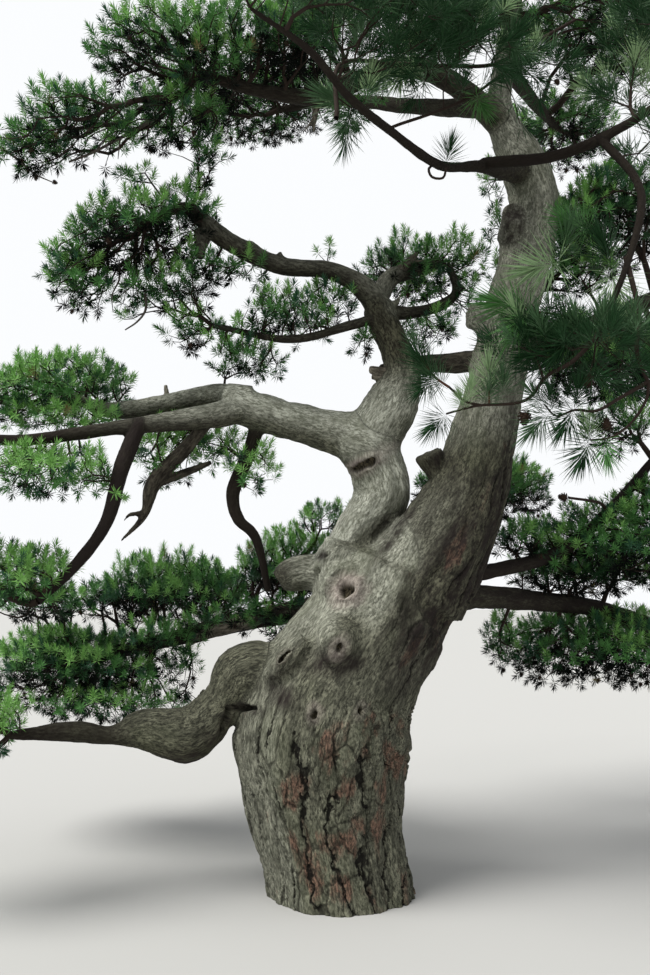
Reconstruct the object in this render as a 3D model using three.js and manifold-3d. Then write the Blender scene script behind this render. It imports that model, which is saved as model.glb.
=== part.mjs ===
// A mature pine tree: a short massive trunk that forks into two stems, crooked boughs, flat masses of needles.
// Millimetres, +Z up. The origin is the middle of the flat cut at ground level, -Y is the front, +X its right.
import * as THREE from "three";
import { mergeVertices } from "three/addons/utils/BufferGeometryUtils.js";
import Module from "manifold-3d";

const wasm = await Module();
wasm.setup();

// Driving sizes
const CLEARANCE = 0.6; // left between a solid and its neighbours
const TRUNK_RADIUS = 405; // at the ground
const BELLY_RADIUS = 518; // at the swelling under the fork
const FORK_HEIGHT = 1830;
const LEADER_TOP = 6150; // tip of the right stem, inside the top mass
const FLARE = 0.05; // widening of the trunk at the ground
const FLARE_HEIGHT = 160;
const RIBS = 5; // ridges that run up from the roots
const RIB_DEPTH = 0.03;
const RIB_FADE = 0.3; // what is left of the ridges high on the trunk
const UNDERSIDE = 0.72; // height of a mass below its middle, against above it
const BALL_RINGS = 6; // rings of a mass's ball from pole to pole
const UNEVEN = 0.2; // bumps on a mass, as a share of its size
const FLATNESS = new THREE.Vector3(1, 1, 0.55); // usual proportions of a mass
const BUMPS = new THREE.Vector3(4, 5, 4); // waves of unevenness round a mass, along each axis
const PHASE = new THREE.Vector3(0.013, 0.007, 0.011); // sets the bumps apart from mass to mass, by place

// Plain colours of living bark, bare dead wood and needles
const BARK = new THREE.MeshStandardMaterial({ color: 0x6e645c, roughness: 0.95, flatShading: true });
const DEAD_WOOD = new THREE.MeshStandardMaterial({ color: 0x8a857f, roughness: 0.9, flatShading: true });
const NEEDLES = new THREE.MeshStandardMaterial({ color: 0x3f6b3a, roughness: 0.8, flatShading: true });

// The solid of a closed geometry, from its positions alone.
function solidOf(geometry) {
  geometry.deleteAttribute("normal");
  geometry.deleteAttribute("uv");
  const merged = mergeVertices(geometry, 1e-3);
  const solid = new wasm.Mesh({
    numProp: 3,
    vertProperties: merged.attributes.position.array,
    triVerts: new Uint32Array(merged.index.array),
  });
  return new wasm.Manifold(solid);
}

// The geometry of a solid.
function geometryOf(solid) {
  const mesh = solid.getMesh();
  const geometry = new THREE.BufferGeometry();
  geometry.setAttribute("position", new THREE.BufferAttribute(new Float32Array(mesh.vertProperties), 3));
  geometry.setIndex(new THREE.BufferAttribute(new Uint32Array(mesh.triVerts), 1));
  geometry.computeVertexNormals();
  return geometry;
}

// The largest of the bodies that a cut leaves.
function largestBody(solid) {
  const bodies = solid.decompose();
  return bodies.reduce((best, body) => (body.volume() > best.volume() ? body : best));
}

// The radius at a share t of the way along a list of radii that are evenly spaced.
function radiusAlong(radii, t) {
  const place = t * (radii.length - 1);
  const before = Math.min(Math.floor(place), radii.length - 2);
  return THREE.MathUtils.lerp(radii[before], radii[before + 1], place - before);
}

// A tapering limb: a closed cylinder bent along a smooth line through the route's points. Each ring's radius
// follows the list of radii, shape(height, angle) may make a ring uneven, and a spur is a side limb joined on.
function limbSolid(limb, grow = 0) {
  const { route, radii, sides = 6, rings = 2 * (route.length - 1), shape = () => 1, spur } = limb;
  const line = new THREE.CatmullRomCurve3(route.map((point) => new THREE.Vector3(...point)));
  const frames = line.computeFrenetFrames(rings);
  const geometry = new THREE.CylinderGeometry(1, 1, 1, sides, rings);
  const place = geometry.attributes.position;
  const vertex = new THREE.Vector3();
  for (let i = 0; i < place.count; i++) {
    vertex.fromBufferAttribute(place, i);
    const ring = Math.round((vertex.y + 0.5) * rings);
    const centre = line.getPointAt(ring / rings);
    const angle = Math.atan2(vertex.z, vertex.x);
    const radius = radiusAlong(radii, line.getUtoTmapping(ring / rings)) * shape(centre.z, angle) + grow;
    const across = frames.binormals[ring].clone().multiplyScalar(vertex.x * radius);
    const beside = frames.normals[ring].clone().multiplyScalar(vertex.z * radius);
    const ends = ring === 0 ? -grow : ring === rings ? grow : 0;
    const along = frames.tangents[ring].clone().multiplyScalar(ends);
    centre.add(across).add(beside).add(along);
    place.setXYZ(i, centre.x, centre.y, centre.z);
  }
  const solid = solidOf(geometry);
  return spur ? solid.add(limbSolid(spur, grow)) : solid;
}

// How far a ray from a point runs before it leaves a lobe for good, or 0 where it misses it.
function reachOf([x, y, z, spread, depth, height], from, direction) {
  const size = new THREE.Vector3(spread, depth, height);
  const start = from.clone().sub(new THREE.Vector3(x, y, z)).divide(size);
  const step = direction.clone().divide(size);
  const slope = start.dot(step);
  const square = step.lengthSq();
  const inside = slope * slope - square * (start.lengthSq() - 1);
  return inside < 0 ? 0 : (Math.sqrt(inside) - slope) / square;
}

// A mass of needles: one uneven ball drawn out from the first lobe's middle to the far side of every lobe,
// with bumps of its own and a flatter underside.
function massSolid(lobes, grow = 0) {
  const middle = new THREE.Vector3(...lobes[0]);
  const sides = lobes.length > 2 ? 12 : 10;
  const geometry = new THREE.SphereGeometry(1, sides, BALL_RINGS).rotateX(Math.PI / 2);
  const place = geometry.attributes.position;
  const phase = middle.dot(PHASE);
  const direction = new THREE.Vector3();
  for (let i = 0; i < place.count; i++) {
    direction.fromBufferAttribute(place, i);
    const turns = direction.clone().multiply(BUMPS);
    const waves = [turns.x + phase, turns.y - phase, turns.z + 2 * phase];
    const bump = waves.reduce((sum, wave) => sum + Math.sin(wave), 0) / waves.length;
    direction.multiply(FLATNESS).normalize();
    const reach = Math.max(...lobes.map((lobe) => reachOf(lobe, middle, direction)));
    const drop = direction.z < 0 ? UNDERSIDE : 1;
    const out = reach * (1 + UNEVEN * bump) + grow;
    direction.z *= drop;
    direction.multiplyScalar(out).add(middle);
    place.setXYZ(i, direction.x, direction.y, direction.z);
  }
  return solidOf(geometry);
}

// The trunk's ring: it widens at the ground, into ridges that fade upwards.
function flare(height, angle) {
  const near = Math.exp(-Math.max(height, 0) / FLARE_HEIGHT);
  return 1 + FLARE * near + RIB_DEPTH * Math.cos(RIBS * angle) * (RIB_FADE + near);
}

// Everything below the ground, which the flat cut takes away.
function belowGround() {
  const width = 4000;
  const depth = 1000;
  return solidOf(new THREE.BoxGeometry(width, width, depth).translate(0, 0, -depth / 2));
}

// Trunk and limbs, each after the one that it grows from. A limb's route starts inside that limb.
const LIMBS = {
  trunk: {
    route: [[10, 0, -90], [-30, 0, 180], [-80, 0, 440], [-100, 0, 690], [-100, 0, 890], [-50, 0, 1100],
      [90, 0, 1360], [240, 20, 1590], [360, 30, FORK_HEIGHT]],
    radii: [TRUNK_RADIUS, TRUNK_RADIUS, 431, 480, BELLY_RADIUS, 496, 439, 407, 380],
    sides: 16,
    rings: 12,
    shape: flare,
  },
  right_stem: {
    route: [[420, 0, 1740], [710, -20, 2220], [900, -20, 2810], [980, 0, 3140], [1160, 30, 3850],
      [1220, 30, 4150], [1160, 30, 4410], [1010, 10, 4760], [1040, -20, 5040], [1110, -10, 5450],
      [1090, 40, LEADER_TOP]],
    radii: [359, 276, 188, 172, 163, 157, 145, 90, 70, 58, 28],
    sides: 9,
    rings: 18,
  },
  left_stem: {
    route: [[60, 140, 1830], [120, 160, 2090], [240, 140, 2330], [220, 110, 2600], [320, 90, 2880],
      [390, 90, 3070], [350, 90, 3230], [230, 80, 3500]],
    radii: [245, 179, 179, 211, 174, 118, 100, 92],
    sides: 8,
    rings: 12,
  },
  low_left_bough: {
    route: [[-240, 0, 1170], [-540, -60, 1240], [-700, -90, 1070], [-900, -140, 920], [-1140, -190, 960],
      [-1430, -280, 950], [-1800, -460, 960]],
    radii: [185, 195, 125, 148, 70, 45, 24],
    sides: 8,
    rings: 12,
  },
  left_bough: {
    route: [[200, 110, 2650], [-60, 90, 2720], [-310, 30, 2770], [-660, -60, 2860]],
    radii: [186, 136, 120, 112],
  },
  left_bough_lower: {
    route: [[-560, -50, 2840], [-780, -140, 2770], [-1260, -320, 2670], [-1800, -480, 2570],
      [-2150, -520, 2590]],
    radii: [90, 74, 46, 33, 26],
  },
  left_bough_upper: {
    route: [[-580, -10, 2890], [-780, 90, 2940], [-1230, 190, 2880], [-1480, 230, 2880],
      [-1700, 230, 2960]],
    radii: [80, 50, 44, 40, 30],
  },
  hanging_left_bough: {
    route: [[-1170, -300, 2690], [-1250, -350, 2420], [-1320, -380, 2120], [-1470, -380, 1900],
      [-1690, -380, 1680]],
    radii: [50, 46, 38, 34, 28],
  },
  dead_bough: {
    route: [[-780, -120, 2760], [-920, -60, 2600], [-1130, 20, 2390], [-1190, 10, 2180],
      [-1310, -50, 2030]],
    radii: [40, 42, 50, 24, 8],
    spur: { route: [[-1120, 20, 2380], [-960, 60, 2450], [-790, 70, 2520]], radii: [26, 28, 16] },
    dead: true,
  },
  hanging_inner_bough: {
    route: [[-490, 0, 2770], [-560, 0, 2560], [-650, 0, 2300], [-610, 0, 2160], [-520, 30, 2070],
      [-440, 170, 1740]],
    radii: [46, 45, 42, 38, 31, 22],
  },
  upper_left_bough: {
    route: [[280, 90, 3450], [160, 70, 3610], [-60, 0, 3710], [-370, -90, 3710], [-580, -140, 3790],
      [-800, -230, 3860], [-1020, -320, 3960]],
    radii: [94, 75, 58, 58, 58, 54, 29],
  },
  centre_bough: {
    route: [[240, 90, 3540], [320, 210, 3730], [490, 300, 3820], [670, 380, 3900]],
    radii: [57, 51, 39, 28],
  },
  centre_low_bough: {
    route: [[300, 120, 3480], [450, 230, 3510], [680, 340, 3600], [780, 410, 3710], [740, 460, 3900]],
    radii: [50, 42, 38, 33, 24],
  },
  mid_left_bough: {
    route: [[260, 70, 3440], [60, 0, 3360], [-300, -90, 3250], [-780, -80, 3340]],
    radii: [32, 26, 21, 16],
  },
  crossing_bough: {
    route: [[920, 0, 3140], [700, 170, 3170], [490, 310, 3190], [260, 280, 3150]],
    radii: [70, 66, 52, 32],
    dead: true,
  },
  top_left_bough: {
    route: [[1000, -10, 4680], [780, -110, 4810], [550, -210, 4890], [270, -320, 4850], [-100, -460, 4600],
      [-420, -570, 4560], [-800, -620, 4640]],
    radii: [92, 70, 61, 54, 52, 42, 26],
  },
  right_bough: {
    route: [[1040, 0, 3230], [1380, 110, 3310], [1740, 230, 3480], [2080, 280, 3630], [2520, 340, 3740]],
    radii: [78, 63, 60, 52, 34],
  },
  low_right_bough: {
    route: [[640, 90, 1700], [950, 340, 1700], [1320, 570, 1670], [1780, 800, 1610], [2420, 1050, 1430]],
    radii: [100, 76, 66, 58, 34],
  },
  low_right_fork: {
    route: [[700, 110, 1830], [1010, 280, 1870], [1380, 400, 1970], [1740, 460, 2230], [2100, 520, 2620]],
    radii: [58, 50, 45, 39, 28],
  },
  low_left_back_bough: {
    route: [[20, 200, 1650], [-260, 570, 1600], [-540, 800, 1550], [-1050, 970, 1430], [-1850, 1100, 1230]],
    radii: [105, 82, 68, 56, 34],
  },
  near_bough: {
    route: [[1130, -40, 4330], [760, -700, 4070], [480, -1100, 3930], [220, -1400, 3950], [0, -1680, 3980],
      [-230, -1820, 4330]],
    radii: [80, 50, 41, 38, 34, 26],
  },
  near_right_bough: {
    route: [[780, -670, 4090], [1140, -950, 4010], [1400, -1200, 4040], [1750, -1350, 4240]],
    radii: [42, 42, 34, 24],
  },
  near_hanging_bough: {
    route: [[1300, -1120, 4020], [1450, -1250, 3680], [1360, -1300, 3310], [1200, -1280, 2930]],
    radii: [32, 29, 24, 16],
  },
  rear_low_bough: {
    route: [[620, 180, 2020], [820, 900, 2300], [1100, 1600, 2460]],
    radii: [120, 70, 40],
  },
  rear_right_bough: {
    route: [[1100, 90, 3640], [1400, 800, 3600], [1780, 1500, 3600]],
    radii: [88, 60, 34],
  },
  rear_high_left_bough: {
    route: [[1020, 30, 4780], [500, 560, 5080], [0, 950, 5330], [-450, 1200, 5390]],
    radii: [68, 54, 40, 26],
  },
  crown_front_bough: {
    route: [[1090, -10, 5300], [900, -420, 5430], [620, -800, 5560]],
    radii: [52, 40, 26],
  },
  rear_high_right_bough: {
    route: [[1050, 20, 5080], [1350, 560, 5120], [1650, 1100, 5200]],
    radii: [56, 44, 28],
  },
};

// The masses, each a list of lobes [x, y, z, spread, depth, height].
const MASSES = {
  top_left_mass: [
    [-520, -570, 4780, 470, 520, 310],
    [-1010, -570, 4750, 370, 470, 300],
    [-160, -380, 5100, 380, 440, 250],
  ],
  top_left_outer_mass: [[-1500, -630, 4480, 340, 400, 230], [-1780, -660, 4270, 280, 300, 160]],
  upper_left_mass: [
    [-1240, -330, 3900, 370, 430, 260],
    [-950, -290, 4040, 240, 360, 180],
    [-1530, -340, 3660, 240, 330, 200],
  ],
  upper_left_low_mass: [[-1080, -160, 3540, 300, 330, 190], [-810, -130, 3700, 190, 270, 160]],
  mid_left_mass: [[-340, -40, 3470, 340, 330, 180], [-780, -70, 3340, 240, 270, 130]],
  mid_left_low_mass: [[-530, 20, 3150, 230, 250, 150]],
  centre_mass: [
    [520, 410, 3930, 380, 380, 200],
    [800, 450, 4010, 260, 330, 190],
    [260, 370, 3880, 200, 260, 160],
  ],
  left_mass: [
    [-1760, 230, 3060, 460, 500, 240],
    [-1490, 230, 3100, 220, 340, 180],
    [-2180, 120, 2960, 330, 440, 230],
  ],
  left_low_mass: [[-1720, -470, 2410, 320, 370, 180], [-1390, -400, 2480, 200, 240, 130]],
  left_outer_mass: [[-2400, -480, 2680, 440, 440, 240]],
  hanging_inner_mass: [[-530, 40, 2470, 230, 240, 170]],
  hanging_left_mass: [[-1820, -340, 1780, 360, 400, 260], [-2140, -340, 1880, 320, 360, 220]],
  rear_left_mass: [[-1200, 1120, 1650, 580, 480, 350], [-1150, 1680, 1700, 540, 470, 280]],
  rear_left_inner_mass: [[-330, 1020, 1850, 400, 520, 400]],
  rear_left_low_mass: [[-1880, 1120, 1180, 620, 540, 330], [-1250, 1060, 1190, 380, 440, 240]],
  low_left_mass: [[-2100, -540, 1030, 420, 420, 220], [-2440, -500, 1120, 340, 350, 190]],
  right_low_mass: [[1700, 820, 1340, 620, 540, 310], [2420, 1050, 1440, 480, 480, 270]],
  right_mid_mass: [[1700, 510, 2130, 520, 540, 340], [2230, 560, 2600, 460, 450, 270]],
  right_mass: [[1840, 340, 3190, 500, 540, 340]],
  right_upper_mass: [[1780, 290, 4120, 480, 520, 400], [1500, 150, 4020, 260, 320, 290]],
  right_outer_mass: [[2560, 340, 3810, 460, 500, 280]],
  near_top_mass: [
    [260, -1450, 4410, 340, 390, 240],
    [640, -1200, 4410, 300, 380, 220],
    [-260, -1850, 4360, 350, 370, 230],
  ],
  near_right_mass: [[1460, -1260, 4300, 360, 400, 240], [1800, -1340, 4350, 300, 380, 220]],
  near_hanging_mass: [[1180, -1250, 2880, 260, 260, 230], [850, -1080, 2960, 260, 240, 230]],
  crown_top_mass: [
    [1100, 60, 6230, 640, 620, 340],
    [640, -120, 6020, 440, 460, 240],
    [1600, 180, 6010, 440, 480, 250],
  ],
  crown_left_mass: [
    [520, 60, 5480, 520, 560, 290],
    [880, 20, 5420, 300, 400, 220],
    [-60, 20, 5680, 430, 480, 240],
  ],
  crown_right_mass: [
    [1680, 160, 5360, 520, 560, 290],
    [1340, 60, 5340, 280, 400, 200],
    [2180, 140, 5500, 430, 480, 250],
  ],
  crown_front_mass: [[560, -960, 5640, 500, 460, 260], [60, -1080, 5580, 400, 400, 220]],
  rear_high_left_mass: [[-620, 1280, 5420, 480, 480, 270], [-180, 1050, 5560, 380, 380, 220]],
  rear_high_right_mass: [[1700, 1280, 5230, 500, 500, 280]],
  rear_right_mass: [[1900, 1700, 3640, 560, 520, 300]],
  rear_low_mass: [[1180, 1850, 2520, 580, 540, 300]],
};

// Every solid is cut round the ones before it, with the clearance between them.
const placed = [];
function touching(a, b) {
  return [0, 1, 2].every((axis) => a.min[axis] < b.max[axis] && b.min[axis] < a.max[axis]);
}
function place(name, makeSolid, root, material) {
  const box = makeSolid(CLEARANCE).boundingBox();
  const neighbours = placed.filter((other) => touching(box, other.box));
  let solid = makeSolid(0).subtract(belowGround());
  for (const other of neighbours) solid = solid.subtract(other.grown);
  placed.push({ box, grown: makeSolid(CLEARANCE) });
  const mesh = new THREE.Mesh(geometryOf(largestBody(solid)), material);
  mesh.name = name;
  mesh.geometry.translate(-root[0], -root[1], -root[2]);
  mesh.position.set(...root);
  return mesh;
}

const wood = new THREE.Group();
for (const [name, limb] of Object.entries(LIMBS)) {
  const root = name === "trunk" ? [0, 0, 0] : limb.route[0];
  wood.add(place(name, (grow) => limbSolid(limb, grow), root, limb.dead ? DEAD_WOOD : BARK));
}
const foliage = new THREE.Group();
for (const [name, lobes] of Object.entries(MASSES)) {
  foliage.add(place(name, (grow) => massSolid(lobes, grow), lobes[0].slice(0, 3), NEEDLES));
}

const tree = new THREE.Group();
tree.add(wood, foliage);

export default tree;
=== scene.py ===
"""An old leaning pine: swollen trunk, two stems, crooked boughs, and flat masses of needles in tufts."""
import math

import bpy
import numpy as np
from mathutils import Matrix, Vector, noise
from mathutils.bvhtree import BVHTree


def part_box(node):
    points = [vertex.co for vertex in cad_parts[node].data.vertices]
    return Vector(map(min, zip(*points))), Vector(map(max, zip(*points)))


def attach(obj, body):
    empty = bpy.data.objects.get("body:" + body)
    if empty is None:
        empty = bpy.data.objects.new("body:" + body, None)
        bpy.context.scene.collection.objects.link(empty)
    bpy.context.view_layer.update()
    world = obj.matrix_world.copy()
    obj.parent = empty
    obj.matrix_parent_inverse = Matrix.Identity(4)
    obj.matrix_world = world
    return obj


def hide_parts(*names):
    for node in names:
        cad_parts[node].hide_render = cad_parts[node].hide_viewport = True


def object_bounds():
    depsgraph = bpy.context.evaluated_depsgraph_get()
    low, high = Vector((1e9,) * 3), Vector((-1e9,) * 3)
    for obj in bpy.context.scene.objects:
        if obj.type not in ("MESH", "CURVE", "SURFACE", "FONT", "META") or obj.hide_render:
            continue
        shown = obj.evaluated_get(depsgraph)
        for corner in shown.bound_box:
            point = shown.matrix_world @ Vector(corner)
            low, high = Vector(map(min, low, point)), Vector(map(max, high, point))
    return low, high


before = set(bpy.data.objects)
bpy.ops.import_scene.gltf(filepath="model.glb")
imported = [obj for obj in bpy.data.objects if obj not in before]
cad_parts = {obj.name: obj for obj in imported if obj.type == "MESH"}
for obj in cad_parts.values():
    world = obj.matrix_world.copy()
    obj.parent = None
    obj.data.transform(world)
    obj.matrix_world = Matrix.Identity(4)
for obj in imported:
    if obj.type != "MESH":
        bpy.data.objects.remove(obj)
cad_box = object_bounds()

MM = 0.001
ROOT = "root"

# The limbs, much as the solids have them, in millimetres: the route, then the radius at each point of it.
# The near ones are thinner than their solids, and a few ends and knees follow the photo a little beyond them
LIMBS = {
    "trunk": ([(10, 0, -90), (-30, 0, 180), (-80, 0, 440), (-100, 0, 690), (-100, 0, 890), (-50, 0, 1100),
               (90, 0, 1360), (240, 20, 1590), (360, 30, 1830)],
              [425, 405, 431, 480, 518, 496, 439, 407, 380]),
    "right_stem": ([(420, 0, 1740), (722, -20, 2220), (900, -20, 2810), (980, 0, 3140),
                    (1160, 30, 3850), (1220, 30, 4150), (1160, 30, 4410), (1010, 10, 4760),
                    (1040, -20, 5040), (1110, -10, 5450), (1090, 40, 6150)],
                   [359, 258, 188, 172, 163, 157, 145, 90, 70, 58, 28]),
    "left_stem": ([(60, 140, 1830), (130, 160, 2090), (262, 140, 2330), (200, 110, 2640), (320, 90, 2880),
                   (390, 90, 3070), (350, 90, 3230), (230, 80, 3500)],
                  [240, 172, 178, 176, 170, 118, 100, 92]),
    "low_left_bough": ([(-240, 0, 1170), (-540, -60, 1240), (-700, -90, 1070), (-870, -140, 925),
                        (-1130, -190, 950), (-1300, -240, 925), (-1480, -300, 955), (-1800, -460, 960)],
                       [185, 195, 128, 152, 112, 56, 60, 24]),
    "left_bough": ([(200, 110, 2650), (-60, 90, 2720), (-310, 30, 2770), (-660, -60, 2860)],
                   [186, 136, 120, 112]),
    "left_bough_lower": ([(-560, -50, 2840), (-780, -140, 2770), (-1260, -320, 2670), (-1800, -480, 2570),
                          (-2150, -520, 2590)],
                         [90, 74, 46, 33, 26]),
    "left_bough_upper": ([(-580, -10, 2890), (-780, 90, 2940), (-1230, 190, 2880), (-1480, 230, 2880),
                          (-1700, 230, 2960)],
                         [92, 74, 62, 50, 32]),
    "hanging_left_bough": ([(-1170, -300, 2690), (-1250, -350, 2420), (-1320, -380, 2120),
                            (-1470, -380, 1900), (-1690, -380, 1680)],
                           [50, 46, 38, 34, 28]),
    "dead_bough": ([(-780, -120, 2760), (-920, -60, 2600), (-1130, 20, 2390), (-1190, 10, 2180),
                    (-1310, -50, 2030)],
                   [40, 42, 50, 24, 8]),
    "hanging_inner_bough": ([(-490, 0, 2770), (-560, 0, 2560), (-650, 0, 2300), (-610, 0, 2160),
                             (-520, 30, 2070), (-440, 170, 1740)],
                            [46, 45, 42, 38, 31, 22]),
    "upper_left_bough": ([(280, 90, 3450), (160, 70, 3610), (-60, 0, 3710), (-370, -90, 3710),
                          (-580, -140, 3790), (-765, -220, 3885), (-896, -270, 3995), (-1000, -305, 3975),
                          (-1120, -340, 3880)],
                         [94, 75, 58, 58, 58, 56, 40, 32, 22]),
    "centre_bough": ([(240, 90, 3540), (320, 210, 3730), (490, 300, 3820), (670, 380, 3900)],
                     [62, 60, 50, 36]),
    "centre_low_bough": ([(300, 120, 3480), (450, 230, 3510), (680, 340, 3600), (780, 410, 3710),
                          (740, 460, 3900)],
                         [50, 42, 38, 33, 24]),
    "mid_left_bough": ([(260, 70, 3440), (60, 0, 3360), (-300, -90, 3250), (-780, -80, 3340)],
                       [36, 31, 26, 18]),
    "crossing_bough": ([(920, 0, 3140), (700, 170, 3170), (490, 310, 3190), (260, 280, 3150)],
                       [70, 66, 52, 32]),
    "top_left_bough": ([(1000, -10, 4680), (780, -110, 4810), (550, -210, 4890), (270, -320, 4850),
                        (-100, -460, 4600), (-420, -570, 4560), (-800, -620, 4640)],
                       [92, 70, 61, 54, 52, 42, 26]),
    "right_bough": ([(1040, 0, 3230), (1380, 110, 3310), (1740, 230, 3480), (2080, 280, 3630),
                     (2520, 340, 3740)],
                    [78, 63, 60, 52, 34]),
    "low_right_bough": ([(640, 90, 1700), (950, 340, 1700), (1320, 570, 1670), (1780, 800, 1610),
                         (2420, 1050, 1430)],
                        [100, 76, 66, 58, 34]),
    "low_right_fork": ([(700, 110, 1830), (1010, 280, 1870), (1380, 400, 1970), (1740, 460, 2230),
                        (2100, 520, 2620)],
                       [58, 50, 45, 39, 28]),
    "low_left_back_bough": ([(20, 200, 1650), (-260, 570, 1600), (-540, 800, 1550), (-1050, 970, 1430),
                             (-1850, 1100, 1230)],
                            [105, 82, 68, 56, 34]),
    "near_bough": ([(1130, -40, 4330), (760, -700, 4060), (480, -1100, 3885), (240, -1400, 3895),
                    (0, -1660, 3955), (-150, -1760, 4090), (-420, -1840, 4250)],
                   [80, 36, 26, 23, 21, 18, 12]),
    "near_right_bough": ([(780, -670, 4090), (1140, -950, 4010), (1400, -1200, 4040), (1750, -1350, 4240)],
                         [34, 30, 25, 17]),
    "near_hanging_bough": ([(1300, -1120, 4020), (1450, -1250, 3680), (1360, -1300, 3310),
                            (1200, -1280, 2930)],
                           [25, 22, 19, 13]),
    "rear_low_bough": ([(620, 180, 2020), (820, 900, 2300), (1100, 1600, 2460)], [120, 70, 40]),
    "rear_right_bough": ([(1100, 90, 3640), (1400, 800, 3600), (1780, 1500, 3600)], [88, 60, 34]),
    "rear_high_left_bough": ([(1020, 30, 4780), (500, 560, 5080), (0, 950, 5330), (-450, 1200, 5390)],
                             [68, 54, 40, 26]),
    "crown_front_bough": ([(1090, -10, 5300), (900, -420, 5430), (620, -800, 5560)], [52, 40, 26]),
    "rear_high_right_bough": ([(1050, 20, 5080), (1350, 560, 5120), (1650, 1100, 5200)], [56, 44, 28]),
}

# What else grows on a limb: burls, knobs, broken stubs and spurs. The limb, the kind, the route and its
# radii. A burl takes the grain of its limb, a knob has a grain of its own, and a bare one is weathered wood
BURL, KNOB, BARE = "burl", "knob", "bare"
STUBS = [
    ("trunk", BURL, [(30, -100, 1740), (30, -270, 1740)], [190, 140]),
    ("trunk", BURL, [(0, -180, 1500), (-28, -400, 1462), (-34, -500, 1432)], [190, 128, 84]),
    ("trunk", BURL, [(-410, -235, 1235), (-310, -345, 1340), (-190, -350, 1480)], [62, 84, 52]),
    ("trunk", BURL, [(-20, 20, 1920), (-120, -10, 1965)], [135, 105]),
    ("trunk", BURL, [(-80, -40, 1930), (80, -75, 1900), (235, -95, 1850)], [122, 118, 112]),
    ("trunk", KNOB, [(-60, 120, 1840), (-240, 130, 1848), (-320, 140, 1820), (-375, 140, 1790)],
     [112, 108, 100, 66]),
    ("left_stem", BURL, [(130, 50, 2600), (110, -60, 2575)], [150, 105]),
    ("right_stem", KNOB, [(650, -20, 2320), (592, -60, 2420), (524, -100, 2550)], [62, 66, 86]),
    ("right_stem", KNOB, [(1085, 40, 3930), (1035, -270, 3965)], [98, 74]),
    ("right_stem", KNOB, [(960, 0, 3385), (790, -60, 3405)], [98, 76]),
    ("right_stem", BARE, [(730, 0, 1770), (705, -70, 1690), (690, -110, 1590)], [44, 28, 8]),
    ("left_stem", BARE, [(350, 80, 3075), (180, 40, 3095)], [36, 25]),
    ("left_stem", BARE, [(340, 70, 3040), (195, 20, 3045)], [27, 19]),
    ("left_stem", BURL, [(320, 90, 3500), (365, 50, 3535), (385, 40, 3590)], [30, 18, 6]),
    ("top_left_bough", BARE, [(-130, -450, 4610), (-150, -440, 4500), (-158, -430, 4395)], [34, 20, 7]),
    ("top_left_bough", BARE, [(-150, -440, 4480), (-226, -430, 4385)], [13, 5]),
    ("upper_left_bough", BURL, [(-540, -130, 3790), (-565, -150, 3835)], [58, 34]),
    ("upper_left_bough", BURL, [(-366, -100, 3720), (-366, -120, 3790)], [42, 12]),
    ("upper_left_bough", BURL, [(-820, -250, 3860), (-830, -280, 3690)], [58, 24]),
    ("centre_bough", BARE, [(360, 230, 3760), (470, 200, 3865), (535, 190, 3925)], [34, 22, 8]),
    ("centre_bough", BARE, [(430, 215, 3830), (545, 180, 3842)], [18, 6]),
    ("centre_low_bough", BURL, [(765, 420, 3770), (860, 370, 3690)], [28, 9]),
    ("low_left_back_bough", BARE, [(-520, 780, 1560), (-800, 830, 1475), (-1010, 850, 1400)], [52, 44, 30]),
    ("left_bough_upper", BARE, [(-1085, 180, 2890), (-1100, 195, 3035)], [26, 13]),
    ("left_bough", BURL, [(-560, -50, 2880), (-700, -60, 2930)], [100, 62]),
    ("dead_bough", BARE, [(-1120, 20, 2380), (-960, 60, 2450), (-790, 70, 2520)], [26, 28, 16]),
    ("dead_bough", BARE, [(-1185, 10, 2200), (-1270, -20, 2190), (-1300, -30, 2150)], [20, 12, 5]),
]
# Limbs of bare dead wood, and live ones with painted shade all over, as they lie in the shade of the crown
DEAD_LIMBS = ("dead_bough", "crossing_bough")
SHADED_LIMBS = ("low_right_bough", "low_right_fork", "low_left_back_bough", "hanging_left_bough")

# Healed hollows, as seen from the front, in metres: across, up, radius, depth, rim, stretch and its slope
HOLLOWS = [
    (0.036, 1.733, 0.044, 0.042, 0.026, 1.15, 0.15),
    (-0.020, 1.428, 0.023, 0.040, 0.011, 1.5, 1.2),
    (-0.325, 1.380, 0.014, 0.040, 0.012, 2.8, 0.75),
    (-0.147, 1.076, 0.021, 0.045, 0.007, 1.3, 1.4),
    (0.098, 1.086, 0.017, 0.034, 0.007, 1.6, 1.2),
    (0.130, 2.482, 0.026, 0.030, 0.016, 3.6, 0.53),
]
# Creases between limbs and in an old scar, told in the same way, but without a rim
CREASES = [
    (-0.540, 1.072, 0.020, 0.070, 0, 5.0, 0.05),
    (-0.655, 1.000, 0.022, 0.070, 0, 4.0, 1.25),
    (1.030, 3.965, 0.044, 0.008, 0, 1.1, 1.2),
    (-0.116, 1.962, 0.010, 0.024, 0, 2.4, 0.5),
    (-0.100, 1.935, 0.008, 0.020, 0, 2.6, 0.2),
]
# Patches of red, flaked bark, as seen from the front, in metres: across, up, half width, half height and lean
RED_PATCHES = [
    (-0.084, 0.876, 0.120, 0.160, 0.1),
    (-0.280, 0.676, 0.100, 0.130, 0.0),
    (0.297, 0.804, 0.090, 0.190, 0.3),
    (-0.190, 0.256, 0.100, 0.240, 0.45),
    (0.004, 0.376, 0.120, 0.150, 0.2),
    (0.205, 0.459, 0.070, 0.110, 0.0),
    (0.042, 0.670, 0.110, 0.100, -0.3),
    (0.388, 1.405, 0.070, 0.150, -0.5),
    (0.010, 0.150, 0.110, 0.110, 0.0),
    (0.640, 1.950, 0.080, 0.200, -0.5),
]
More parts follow.
